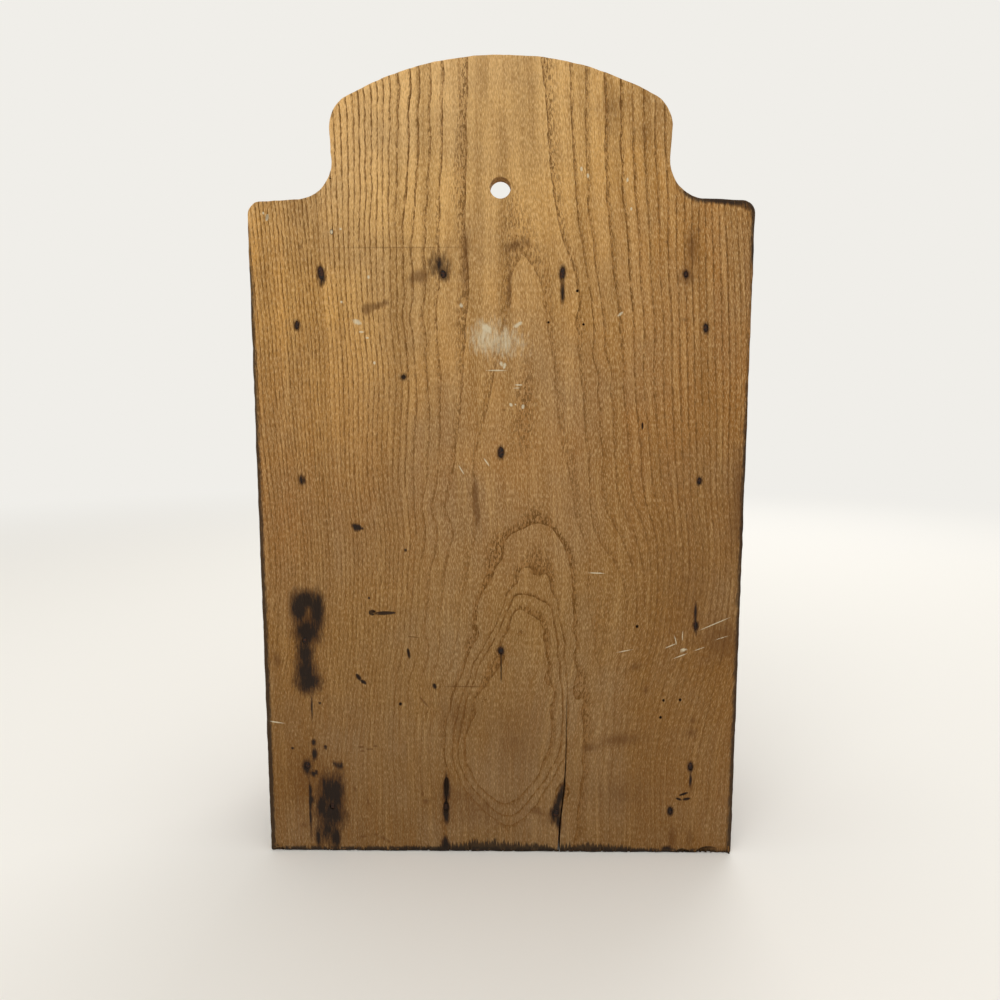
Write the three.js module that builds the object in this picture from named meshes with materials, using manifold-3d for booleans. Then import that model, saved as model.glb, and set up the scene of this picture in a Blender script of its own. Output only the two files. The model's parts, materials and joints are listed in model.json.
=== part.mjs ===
// A small wall cabinet for spices: a shaped back board with a hanging hole, a nailed case
// with moulded top and bottom boards, and two stacks of little drawers with turned knobs.
// Millimetres, +Z up. The drawers face -Y and the back board's rear face looks along +Y.
// The origin is the middle of the footprint, level with the back board's lower end.

import * as THREE from "three";
import { mergeVertices } from "three/addons/utils/BufferGeometryUtils.js";
import Module from "manifold-3d";

const wasm = await Module();
wasm.setup();

// Back board
const boardWidth = 273;
const backThickness = 9.5;
const shoulderWidth = 45.3; // from the board's edge in to the crest
const shoulderRise = 31.9; // from the top board's upper face to the shoulders
const shoulderFall = 0.8; // the shoulders drop a little towards their corners
const shoulderRound = 7.5;
const coveRadius = 20; // hollow between shoulder and crest
const neckInset = 0.8; // the crest draws in above the cove
const crestRise = 72.8; // from the shoulders to the top of the arch
const archRise = 25.6; // of the arch alone, over the width of the crest
const crestRound = 18; // where the arch turns down into the sides
const holeRise = 5.6; // hanging hole above the shoulders
const holeRadius = 5.5;
const footRound = 1.5; // worn lower corners

// Case
const bottomLift = 19.6; // the back board reaches this far below the bottom board
const sideOverhang = 20.2; // top and bottom boards past the case sides
const frontOverhang = 19;
const caseDepth = 105;
const sideThickness = 9.5;
const mouldedThickness = 12.7; // top and bottom boards
const mouldingStep = 1.4; // square fillet above the quarter round
const mouldingRadius = 6.5;
const noseRound = 1.6;
const partitionThickness = 8;
const shelfThickness = 6.4;
const dadoDepth = 3; // shelves into the sides
const grooveDepth = 2.5; // partition into the top and bottom boards
const glueLine = 0.1; // between pieces that are fixed together

// Drawers
const rows = 4;
const openingHeight = 69.2;
const sideClearance = 0.6;
const topClearance = 1;
const runningClearance = 0.3; // under the drawer
const rearClearance = 3;
const frontThickness = 10;
const frontEase = 1.2; // softened edges round the drawer's face
const lipThickness = 4; // what the rabbets leave of the front
const wallThickness = 5;
const wallDrop = 3; // sides and back stand lower than the front
const panelThickness = 3.2;
const panelRise = 4; // the bottom lies this far above the drawer's lower edges
const panelGroove = 2.5;
const panelPlay = 0.1; // all round, for the wood to move

// Knobs
const tenonRadius = 3.2;
const tenonPlay = 0.15;
const collarRadius = 6;
const collarHeight = 2.2;
const neckRadius = 4.1;
const knobRadius = 9.6;
const headHeight = 13;
const headTurn = 0.9; // how far the head curls under, in radians below its widest ring
const knobReach = 21; // from the drawer's face
const knobSides = 16;

// Places worked out from the sizes
const boardHalf = boardWidth / 2;
const crestHalf = boardHalf - shoulderWidth;
const caseHalf = boardHalf - sideOverhang;
const innerHalf = caseHalf - sideThickness;
const shelfPitch = openingHeight + shelfThickness;
const floorZ = bottomLift + mouldedThickness; // upper face of the bottom board
const ceilingZ = floorZ + rows * shelfPitch - shelfThickness; // lower face of the top board
const shoulderZ = ceilingZ + mouldedThickness + shoulderRise;
const boardHeight = shoulderZ + crestRise;
const caseRear = -backThickness - glueLine; // measured from the rear face of the board
const caseFront = -backThickness - caseDepth;
const mouldingFront = caseFront - frontOverhang;
const halvingY = (caseRear + caseFront) / 2; // shelves and partition are halved here
const openingWidth = innerHalf - partitionThickness / 2;
const totalDepth = backThickness + caseDepth + Math.max(frontOverhang, knobReach);

const weatheredOak = new THREE.MeshStandardMaterial({ color: 0xa4804f, roughness: 0.85 });
const varnishedOak = new THREE.MeshStandardMaterial({ color: 0x80552e, roughness: 0.5 });
const drawerPoplar = new THREE.MeshStandardMaterial({ color: 0xbf9d6b, roughness: 0.8 });
const turnedMaple = new THREE.MeshStandardMaterial({ color: 0x5f3b1f, roughness: 0.4 });

// A closed three.js geometry as a solid that can be cut and joined.
function solidOf(geometry) {
  const bare = geometry.clone();
  bare.deleteAttribute("normal");
  bare.deleteAttribute("uv");
  const merged = mergeVertices(bare);
  const vertProperties = new Float32Array(merged.attributes.position.array);
  const triVerts = new Uint32Array(merged.index.array);
  return new wasm.Manifold(new wasm.Mesh({ numProp: 3, vertProperties, triVerts }));
}

// A finished piece from its solid.
function piece(name, solid, material) {
  const { vertProperties, triVerts } = solid.getMesh();
  const indexed = new THREE.BufferGeometry();
  indexed.setAttribute("position", new THREE.BufferAttribute(vertProperties, 3));
  indexed.setIndex(new THREE.BufferAttribute(triVerts, 1));
  const geometry = indexed.toNonIndexed();
  geometry.computeVertexNormals();
  const mesh = new THREE.Mesh(geometry, material);
  mesh.name = name;
  return mesh;
}

// A block between its low and high corners.
function block(low, high) {
  const [width, depth, height] = high.map((value, axis) => value - low[axis]);
  const geometry = new THREE.BoxGeometry(width, depth, height);
  geometry.translate(low[0] + width / 2, low[1] + depth / 2, low[2] + height / 2);
  return solidOf(geometry);
}

// An outline drawn in x and y, swept up along z.
function sweptUp(outline, z0, z1, curveSegments = 4) {
  const options = { depth: z1 - z0, bevelEnabled: false, curveSegments };
  const geometry = new THREE.ExtrudeGeometry(outline, options);
  geometry.translate(0, 0, z0);
  return solidOf(geometry);
}

// An outline drawn in x and z, swept back along y.
function sweptBack(outline, y0, y1, curveSegments = 4) {
  const options = { depth: y1 - y0, bevelEnabled: false, curveSegments };
  const geometry = new THREE.ExtrudeGeometry(outline, options);
  geometry.rotateX(Math.PI / 2);
  geometry.translate(0, y1, 0);
  return solidOf(geometry);
}

// An outline drawn in y and z, swept across along x.
function sweptAcross(outline, x0, x1, curveSegments = 4) {
  const options = { depth: x1 - x0, bevelEnabled: false, curveSegments };
  const geometry = new THREE.ExtrudeGeometry(outline, options);
  geometry.rotateX(Math.PI / 2);
  geometry.rotateZ(Math.PI / 2);
  geometry.translate(x0, 0, 0);
  return solidOf(geometry);
}

// The back board: straight sides, rounded shoulders, a cove each side and a shallow arch.
function backBoard() {
  const archRadius = (crestHalf ** 2 + archRise ** 2) / (2 * archRise);
  const archZ = boardHeight - archRadius;
  const roundX = crestHalf - crestRound;
  const roundZ = archZ + Math.sqrt((archRadius - crestRound) ** 2 - roundX ** 2);
  const turn = Math.atan2(roundZ - archZ, roundX); // arch and round share a tangent here
  const coveX = crestHalf - neckInset + coveRadius;
  const coveZ = shoulderZ + coveRadius;
  const cornerX = boardHalf - shoulderRound;
  const cornerZ = shoulderZ - shoulderFall - shoulderRound;
  const footX = boardHalf - footRound;
  const { PI } = Math;

  const outline = new THREE.Shape();
  outline.absarc(footX, footRound, footRound, -PI / 2, 0, false);
  outline.absarc(cornerX, cornerZ, shoulderRound, 0, PI / 2, false);
  outline.absarc(coveX, coveZ, coveRadius, -PI / 2, -PI, true);
  outline.absarc(roundX, roundZ, crestRound, 0, turn, false);
  outline.absarc(0, archZ, archRadius, turn, PI - turn, false);
  outline.absarc(-roundX, roundZ, crestRound, PI - turn, PI, false);
  outline.absarc(-coveX, coveZ, coveRadius, 0, -PI / 2, true);
  outline.absarc(-cornerX, cornerZ, shoulderRound, PI / 2, PI, false);
  outline.absarc(-footX, footRound, footRound, PI, 1.5 * PI, false);
  const hole = new THREE.Path();
  hole.absarc(0, shoulderZ + holeRise, holeRadius, 0, 2 * PI, true);
  outline.holes.push(hole);
  return piece("back_board", sweptBack(outline, -backThickness, 0, 12), weatheredOak);
}

// Half the section of a moulded board, from its moulded face round the edge to its plain
// face: x is the distance in from the edge and y the height above the plain face.
function mouldedEdge() {
  const roundY = mouldedThickness - mouldingStep - mouldingRadius;
  const nose = Math.min(noseRound, roundY);
  const edge = new THREE.Path();
  edge.moveTo(mouldingRadius, mouldedThickness);
  edge.lineTo(mouldingRadius, mouldedThickness - mouldingStep);
  edge.absarc(mouldingRadius, roundY, mouldingRadius, Math.PI / 2, Math.PI, false);
  edge.absarc(nose, nose, nose, Math.PI, 1.5 * Math.PI, false);
  return edge.getPoints(4);
}

// The top or bottom board, moulded along its front and both ends, the mouldings mitred at
// the corners. The moulded face looks into the case, where a groove holds the partition.
function mouldedBoard(name, plainZ, facing) {
  const level = (height) => plainZ + facing * height;
  const left = mouldedEdge().map(({ x, y }) => new THREE.Vector2(x - boardHalf, level(y)));
  const right = left.map(({ x, y }) => new THREE.Vector2(-x, y)).reverse();
  const front = mouldedEdge().map(({ x, y }) => new THREE.Vector2(mouldingFront + x, level(y)));
  const rear = [0, mouldedThickness].map((height) => new THREE.Vector2(caseRear, level(height)));

  const endToEnd = sweptBack(new THREE.Shape([...left, ...right]), mouldingFront, caseRear);
  const frontToRear = sweptAcross(new THREE.Shape([...front, ...rear]), -boardHalf, boardHalf);
  const grooveHalf = partitionThickness / 2 + glueLine;
  const innerZ = level(mouldedThickness);
  const groove = block(
    [-grooveHalf, caseFront - glueLine, innerZ - grooveDepth - glueLine],
    [grooveHalf, caseRear + 1, innerZ + grooveDepth + glueLine],
  );
  return piece(name, endToEnd.intersect(frontToRear).subtract(groove), varnishedOak);
}

// The lower face of each shelf, from the bottom up.
const shelfHeights = [];
for (let i = 1; i < rows; i++) {
  shelfHeights.push(floorZ + i * shelfPitch - shelfThickness);
}

// A slot through a whole piece for a shelf, from x0 to x1 and y0 to y1.
function shelfSlot(x0, x1, y0, y1, z) {
  return block([x0, y0, z - glueLine], [x1, y1, z + shelfThickness + glueLine]);
}

// A case side, with a dado across its inner face for each shelf.
function caseSide(name, hand) {
  const span = (a, b) => [hand * a, hand * b].sort((p, q) => p - q);
  const [x0, x1] = span(innerHalf, caseHalf);
  const [cut0, cut1] = span(innerHalf - 1, innerHalf + dadoDepth);
  let side = block([x0, caseFront, floorZ + glueLine], [x1, caseRear, ceilingZ - glueLine]);
  for (const z of shelfHeights) {
    side = side.subtract(shelfSlot(cut0, cut1, caseFront - 1, caseRear + 1, z));
  }
  return piece(name, side, varnishedOak);
}

// A shelf right across the case, halved from the rear where it crosses the partition.
function shelf(name, z) {
  const end = innerHalf + dadoDepth - glueLine;
  const half = partitionThickness / 2 + glueLine;
  const board = block([-end, caseFront, z], [end, caseRear, z + shelfThickness]);
  const notch = block(
    [-half, halvingY - glueLine, z - 1],
    [half, caseRear + 1, z + shelfThickness + 1],
  );
  return piece(name, board.subtract(notch), varnishedOak);
}

// The partition between the stacks, halved from the front where it crosses the shelves.
function centrePartition() {
  const half = partitionThickness / 2;
  let board = block(
    [-half, caseFront, floorZ - grooveDepth],
    [half, caseRear, ceilingZ + grooveDepth],
  );
  for (const z of shelfHeights) {
    board = board.subtract(shelfSlot(-half - 1, half + 1, caseFront - 1, halvingY, z));
  }
  return piece("centre_partition", board, varnishedOak);
}

// A drawer is drawn in its own frame: x from its middle, y back from its face and z up from
// its lower edges.
const drawerHalf = openingWidth / 2 - sideClearance;
const drawerHeight = openingHeight - topClearance - runningClearance;
const drawerLength = caseRear - caseFront - rearClearance;
const innerWall = drawerHalf - wallThickness; // inner faces of the sides
const wallHeight = drawerHeight - wallDrop;
const panelTop = panelRise + panelThickness;

// The front: edges softened round the face, rabbeted at both ends for the sides, grooved
// inside for the bottom and bored for the knob.
function drawerFront(name) {
  const softened = (low, high) => {
    const outline = new THREE.Shape();
    outline.moveTo(high, frontThickness);
    outline.lineTo(low, frontThickness);
    outline.absarc(low + frontEase, frontEase, frontEase, Math.PI, 1.5 * Math.PI, false);
    outline.absarc(high - frontEase, frontEase, frontEase, 1.5 * Math.PI, 2 * Math.PI, false);
    return outline;
  };
  const plan = sweptUp(softened(-drawerHalf, drawerHalf), 0, drawerHeight);
  const section = new THREE.Shape(
    softened(0, drawerHeight)
      .getPoints(4)
      .map(({ x, y }) => new THREE.Vector2(y, x)),
  );
  let front = plan.intersect(sweptAcross(section, -drawerHalf, drawerHalf));
  for (const hand of [-1, 1]) {
    const ends = [hand * (innerWall - glueLine), hand * (drawerHalf + 1)].sort((p, q) => p - q);
    const low = [ends[0], lipThickness, -1];
    front = front.subtract(block(low, [ends[1], frontThickness + 1, drawerHeight + 1]));
  }
  front = front.subtract(
    block(
      [-drawerHalf, frontThickness - panelGroove, panelRise - panelPlay],
      [drawerHalf, frontThickness + 1, panelTop + panelPlay],
    ),
  );
  const boreRadius = tenonRadius + tenonPlay;
  const bore = new THREE.CylinderGeometry(boreRadius, boreRadius, 3 * frontThickness, knobSides);
  bore.translate(0, 0, drawerHeight / 2);
  return piece(name, front.subtract(solidOf(bore)), varnishedOak);
}

// A drawer side, its front end in the rabbet and its inner face grooved for the bottom.
function drawerSide(name, hand) {
  const span = (a, b) => [hand * a, hand * b].sort((p, q) => p - q);
  const [x0, x1] = span(innerWall, drawerHalf);
  const [cut0, cut1] = span(innerWall - 1, innerWall + panelGroove);
  const side = block([x0, lipThickness + glueLine, 0], [x1, drawerLength, wallHeight]);
  const groove = block(
    [cut0, 0, panelRise - panelPlay],
    [cut1, drawerLength + 1, panelTop + panelPlay],
  );
  return piece(name, side.subtract(groove), drawerPoplar);
}

// The back stands between the sides, on the bottom.
function drawerBack(name) {
  const end = innerWall - glueLine;
  return piece(
    name,
    block(
      [-end, drawerLength - wallThickness, panelTop + glueLine],
      [end, drawerLength, wallHeight],
    ),
    drawerPoplar,
  );
}

// The bottom slides in from the rear, under the back.
function drawerBottom(name) {
  const end = innerWall + panelGroove - panelPlay;
  return piece(
    name,
    block(
      [-end, frontThickness - panelGroove + panelPlay, panelRise],
      [end, drawerLength, panelTop],
    ),
    drawerPoplar,
  );
}

// A turned knob: tenon, collar, waist and domed head, pointing forward from the face.
function knob(name) {
  const headHalf = headHeight / 2;
  const headY = knobReach - headHalf;
  const underX = knobRadius * Math.cos(headTurn);
  const underY = headY - headHalf * Math.sin(headTurn);
  const profile = new THREE.Path();
  profile.moveTo(0, -frontThickness);
  profile.lineTo(tenonRadius, -frontThickness);
  profile.lineTo(tenonRadius, glueLine);
  profile.lineTo(collarRadius, glueLine);
  profile.lineTo(collarRadius, collarHeight);
  profile.quadraticCurveTo(neckRadius, collarHeight, neckRadius, (collarHeight + underY) / 2);
  profile.quadraticCurveTo(neckRadius, underY, underX, underY);
  profile.absellipse(0, headY, knobRadius, headHalf, -headTurn, Math.PI / 2, false, 0);
  const points = profile.getPoints(4);
  points[points.length - 1].x = 0;
  const geometry = new THREE.LatheGeometry(points, knobSides);
  geometry.rotateX(Math.PI);
  geometry.translate(0, 0, drawerHeight / 2);
  const mesh = new THREE.Mesh(geometry, turnedMaple);
  mesh.name = name;
  return mesh;
}

function drawer(number) {
  const name = `drawer_${number}`;
  const group = new THREE.Group();
  group.add(drawerFront(`${name}_front`));
  group.add(drawerSide(`${name}_left_side`, -1));
  group.add(drawerSide(`${name}_right_side`, 1));
  group.add(drawerBack(`${name}_back`));
  group.add(drawerBottom(`${name}_bottom`));
  group.add(knob(`${name}_knob`));
  return group;
}

const cabinet = new THREE.Group();
cabinet.position.y = totalDepth / 2;
cabinet.add(backBoard());
cabinet.add(mouldedBoard("bottom_board", bottomLift, 1));
cabinet.add(mouldedBoard("top_board", ceilingZ + mouldedThickness, -1));
cabinet.add(caseSide("left_side", -1));
cabinet.add(caseSide("right_side", 1));
cabinet.add(centrePartition());
shelfHeights.forEach((z, i) => cabinet.add(shelf(`shelf_${i + 1}`, z)));

// Two drawers in each row, counted from the upper left as one faces them.
for (let row = 0; row < rows; row++) {
  for (const column of [0, 1]) {
    const group = drawer(2 * row + column + 1);
    const stackX = (partitionThickness + openingWidth) / 2;
    const openingZ = floorZ + (rows - 1 - row) * shelfPitch;
    group.position.set((2 * column - 1) * stackX, caseFront, openingZ + runningClearance);
    cabinet.add(group);
  }
}

export default cabinet;
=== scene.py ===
import json
import math
import random

import bpy
import numpy as np
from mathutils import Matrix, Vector, kdtree, noise

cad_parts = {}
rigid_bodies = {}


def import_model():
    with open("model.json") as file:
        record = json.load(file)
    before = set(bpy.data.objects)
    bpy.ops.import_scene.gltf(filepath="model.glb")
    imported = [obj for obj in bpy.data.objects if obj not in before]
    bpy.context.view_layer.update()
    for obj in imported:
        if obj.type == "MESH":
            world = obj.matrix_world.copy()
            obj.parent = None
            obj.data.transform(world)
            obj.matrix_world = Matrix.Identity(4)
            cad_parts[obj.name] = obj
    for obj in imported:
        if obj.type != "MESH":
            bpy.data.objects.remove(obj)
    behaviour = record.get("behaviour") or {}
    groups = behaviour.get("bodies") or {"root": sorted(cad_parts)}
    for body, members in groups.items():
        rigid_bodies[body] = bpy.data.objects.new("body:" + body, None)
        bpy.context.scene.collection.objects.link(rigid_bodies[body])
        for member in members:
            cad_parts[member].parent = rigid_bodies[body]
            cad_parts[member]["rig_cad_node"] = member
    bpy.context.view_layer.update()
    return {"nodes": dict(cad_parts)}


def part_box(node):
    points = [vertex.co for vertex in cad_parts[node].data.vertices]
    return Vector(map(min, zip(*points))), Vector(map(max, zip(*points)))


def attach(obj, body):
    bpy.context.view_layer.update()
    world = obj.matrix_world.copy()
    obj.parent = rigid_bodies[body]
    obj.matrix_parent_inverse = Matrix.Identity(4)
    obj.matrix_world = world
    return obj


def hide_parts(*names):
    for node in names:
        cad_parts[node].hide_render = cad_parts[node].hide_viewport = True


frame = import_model()
nodes = frame["nodes"]
scene = bpy.context.scene
mm = 0.001
quarter = math.radians(90)
print("frame loaded:", len(nodes), "nodes")


def linear(code):
    # sRGB hex to linear colour
    channels = [int(code[i:i + 2], 16) / 255 for i in (0, 2, 4)]
    return [c / 12.92 if c < 0.04045 else ((c + 0.055) / 1.055) ** 2.4 for c in channels] + [1]


def socketOf(sockets, key):
    if isinstance(key, int):
        return sockets[key]
    return next(s for s in sockets if s.enabled and s.name == key)


def add(tree, kind, inputs, **settings):
    # one node, with its settings and with values or links for its inputs
    node = tree.nodes.new("ShaderNode" + kind)
    for name, value in settings.items():
        setattr(node, name, value)
    for key, value in inputs.items():
        socket = socketOf(node.inputs, key)
        if isinstance(value, bpy.types.Node):
            value = next(s for s in value.outputs if s.enabled)
        if isinstance(value, bpy.types.NodeSocket):
            tree.links.new(value, socket)
        else:
            socket.default_value = value
    return node


def newMaterial(name):
    # an empty material, its nodes, and the place on the object in metres
    material = bpy.data.materials.new(name)
    material.use_nodes = True
    tree = material.node_tree
    tree.nodes.clear()
    return material, tree, add(tree, "TexCoord", {}).outputs["Object"]


camera = {
    "place": (-0.00434, 0.48582, 0.26017),
    "looks": (0.0107, -0.9929, -0.1182),
    "lens": 27.04,
}
light = {
    "lamps": {  # place, width, watts
        "rearSide": ((0.4, 1.6, 1.7), 1.8, 15),
        "drawerSide": ((-0.8, -1.7, 1.4), 1.8, 16),
        "overhead": ((0.1, 0.1, 2.6), 2.2, 12),
    },
    "aimedAt": (0, 0, 0.2),
    "room": 0.62,
    "air": "fbf8f2",
    "paper": "f0eee9",
    "floorRadius": 9,
    "floorFades": (0.7, 2.2),  # metres from the middle, where the floor turns into the backdrop
}


def aim(thing, direction):
    thing.rotation_mode = "QUATERNION"
    thing.rotation_quaternion = Vector(direction).to_track_quat("-Z", "Y")


def setStage():
    bpy.ops.object.camera_add(location=camera["place"])
    eye = bpy.context.object
    eye.data.lens = camera["lens"]
    eye.data.sensor_width = 36
    eye.data.clip_start = 0.01
    aim(eye, camera["looks"])
    scene.camera = eye
    scene.view_settings.view_transform = "Standard"
    for name, (place, width, watts) in light["lamps"].items():
        bpy.ops.object.light_add(type="AREA", location=place)
        lamp = bpy.context.object
        lamp.name = name
        lamp.data.shape = "DISK"
        lamp.data.size = width
        lamp.data.energy = watts
        aim(lamp, Vector(light["aimedAt"]) - Vector(place))
    paper = linear(light["paper"])
    world = bpy.data.worlds.new("room")
    world.use_nodes = True
    tree = world.node_tree
    tree.nodes.clear()
    ray = add(tree, "LightPath", {}).outputs
    seen = ray["Is Camera Ray"]
    for other in ("Is Glossy Ray", "Is Transmission Ray"):
        seen = add(tree, "Math", {0: seen, 1: ray[other]}, operation="MAXIMUM")
    air = add(tree, "Background", {"Color": linear(light["air"]), "Strength": light["room"]})
    backdrop = add(tree, "Background", {"Color": paper, "Strength": 1})
    add(tree, "OutputWorld", {"Surface": add(tree, "MixShader", {0: seen, 1: air, 2: backdrop})})
    scene.world = world
    material, tree, where = newMaterial("matt_white_board")  # pale card, keeps only the soft shadow
    far = add(tree, "VectorMath", {0: where}, operation="LENGTH")
    start, end = light["floorFades"]
    far = add(tree, "MapRange", {"Value": far, "From Min": start, "From Max": end},
              interpolation_type="SMOOTHSTEP")
    ray = add(tree, "LightPath", {}).outputs
    far = add(tree, "Math", {0: far, 1: ray["Is Camera Ray"]}, operation="MULTIPLY")
    card = add(tree, "BsdfDiffuse", {"Color": paper})
    glow = add(tree, "Emission", {"Color": paper, "Strength": 1})
    add(tree, "OutputMaterial", {"Surface": add(tree, "MixShader", {0: far, 1: card, 2: glow})})
    bpy.ops.mesh.primitive_circle_add(vertices=96, radius=light["floorRadius"], fill_type="NGON")
    floor = bpy.context.object
    floor.name = "floor"
    floor.data.materials.append(material)


setStage()
print("camera, lamps and floor")


def finish(tree, colour, rough, lift, relief, strength, more):
    # the surface, with its relief in mm
    bump = add(tree, "Bump", {"Height": lift, "Distance": relief * mm, "Strength": strength})
    shader = add(tree, "BsdfPrincipled", {"Base Color": colour, "Roughness": rough, "Normal": bump, **more})
    add(tree, "OutputMaterial", {"Surface": shader})


paintedLightTop = 446  # mm from the lower end, where the wood and the painted light from above are at their lightest


def makeWeatheredOak():
    # bare oak that a century has weathered: gold above, greyer and grimed below, each growth ring begun by a
    # row of open pores packed with dust, dark where iron has bled into it; gold above and dark below is
    # partly the wood's age and mostly painted light from above.
    # The board's attributes say where the figure, the stains and the rim lie.
    material, tree, where = newMaterial("weathered_bare_oak")
    behind = add(tree, "VectorMath", {0: where, 1: (-1000, 1000, 1000)}, operation="MULTIPLY")  # in mm
    right, into, up = add(tree, "SeparateXYZ", {0: behind}).outputs
    own = {name: add(tree, "Attribute", {}, attribute_name=name).outputs["Fac"]
           for name in ("ring", "pace", "across", "rim", "hollow", "grimy", "iron", "smear", "pale")}
    along = add(tree, "CombineXYZ", {0: own["across"], 1: into, 2: up})
    noises = {}
    for name, place, size, detail, rough in (
            ("wiggle", behind, (1.7, 3, 4), 1, 0.5), ("strokes", along, (0.52, 1.1, 2), 1, 0.5),
            ("dashes", along, (1.6, 2, 9), 1, 0.5), ("specks", along, (0.4, 0.6, 2.3), 1, 0.5),
            ("spikes", along, (0.75, 2, 14), 2, 0.5), ("fibre", along, (1.3, 3, 45), 2, 0.5),
            ("streak", along, (8, 9, 150), 2, 0.5), ("ragged", along, (1.2, 2.5, 6), 4, 0.7)):
        grain = add(tree, "Mapping", {"Vector": place, "Scale": [1 / part for part in size]})
        noises[name] = add(tree, "TexNoise", {"Vector": grain, "Scale": 1, "Detail": detail,
                                              "Roughness": rough})
    cloudy = add(tree, "TexNoise", {"Vector": behind, "Scale": 1 / 60, "Detail": 3, "Roughness": 0.6})
    greyer, warmer, duller = add(tree, "SeparateColor", {0: cloudy.outputs["Color"]}).outputs
    # the ring line is crisp on its inner side and frays outwards into short strokes
    stray = add(tree, "Math", {0: noises["wiggle"], 1: 1.1, 2: -0.55}, operation="MULTIPLY_ADD")
    stray = add(tree, "Math", {0: stray, 1: own["pace"]}, operation="DIVIDE")
    ring = add(tree, "Math", {0: own["ring"], 1: stray}, operation="ADD")
    part = add(tree, "Math", {0: ring}, operation="FRACT")
    count = add(tree, "Math", {0: ring}, operation="FLOOR")
    gap = add(tree, "Math", {0: part, 1: own["pace"]}, operation="MULTIPLY")
    chance = add(tree, "TexWhiteNoise", {"W": count}, noise_dimensions="1D").outputs["Value"]
    # mm from the line beside which the board grows warmer to both sides
    aside = add(tree, "Math", {0: right, 1: 14}, operation="ADD")
    aside = add(tree, "Math", {0: aside}, operation="ABSOLUTE")
    foot = add(tree, "Math", {0: noises["spikes"], 1: own["grimy"]}, operation="MULTIPLY")
    foot = add(tree, "Math", {0: foot, 1: 2}, operation="MULTIPLY")
    foot = add(tree, "Math", {0: foot, 1: up}, operation="SUBTRACT")
    # the rounded edges' dark band, partly grime and partly painted shade, torn by noise
    rim = add(tree, "Math", {0: noises["ragged"], 1: 0.9, 2: own["rim"]}, operation="MULTIPLY_ADD")
    shares = {}
    for name, value, low, high, least, most in (
            ("strong", chance, 0, 1, 0.55, 1), ("clear", up, 0, 420, 0.46, 1.1),
            ("broad", own["ring"], 20, 19, 0, 0.45), ("line", gap, 1.25, 0.2, 0, 1),
            ("broken", noises["dashes"], 0.36, 0.58, 0.15, 1), ("pores", noises["strokes"], 0.49, 0.6, 0, 1),
            ("grey", greyer, 0.42, 0.66, 0, 0.45), ("warm", aside, 55, 130, 0, 1.8),
            ("streaks", noises["streak"], 0.45, 0.66, 0, 0.42), ("bright", up, 60, 420, 0.5, 1.22),
            ("gold", noises["fibre"], 0.5, 0.72, 0, 0.3), ("dark", noises["fibre"], 0.5, 0.3, 0, 0.26),
            ("light", noises["specks"], 0.5, 0.64, 0, 0.34), ("dim", noises["specks"], 0.5, 0.36, 0, 0.32),
            ("rim", rim, 1.08, 1.42, 0, 0.88), ("foot", foot, -0.6, 1.2, 0, 0.85),
            ("rough", duller, 0.3, 0.7, 0.74, 0.9)):
        shares[name] = add(tree, "MapRange", {"Value": value, "From Min": low, "From Max": high,
                                              "To Min": least, "To Max": most})
    shares["spring"] = add(tree, "MapRange", {"Value": part, "From Min": 0.4, "From Max": 0.03},
                           interpolation_type="SMOOTHSTEP")
    # soft marks with torn edges
    for name, kind, spread, low, high, most in (
            ("smeared", "smear", 1.3, 0.5, 1.55, 0.65), ("bled", "iron", 1.5, 0.35, 1.05, 0.75),
            ("rusted", "iron", 1.6, 0.95, 1.5, 0.92), ("rubbed", "pale", 1.2, 0.55, 1.2, 0.75)):
        torn = add(tree, "Math", {0: noises["ragged"], 1: spread, 2: own[kind]}, operation="MULTIPLY_ADD")
        shares[name] = add(tree, "MapRange", {"Value": torn, "From Min": low, "From Max": high,
                                              "To Max": most}, interpolation_type="SMOOTHSTEP")
    for name, other, kind in (
            ("strong", "clear", "MULTIPLY"), ("strong", "broad", "ADD"), ("line", "broken", "MULTIPLY"),
            ("line", "strong", "MULTIPLY"), ("spring", "strong", "MULTIPLY"),
            ("streaks", "clear", "MULTIPLY"), ("gold", "bright", "MULTIPLY"),
            ("light", "bright", "MULTIPLY")):
        shares[name] = add(tree, "Math", {0: shares[name], 1: shares[other]}, operation=kind)
    amount = add(tree, "Math", {0: shares["spring"], 1: 0.85, 2: 0.18}, operation="MULTIPLY_ADD")
    shares["pores"] = add(tree, "Math", {0: shares["pores"], 1: amount}, operation="MULTIPLY")
    shares["soft"] = add(tree, "Math", {0: shares["spring"], 1: 0.3}, operation="MULTIPLY")
    # painted shade in the hollows and on the hole's wall, darker the deeper they go
    shares["deep"] = add(tree, "Math", {0: own["hollow"], 1: 0.9}, operation="MULTIPLY")
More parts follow.
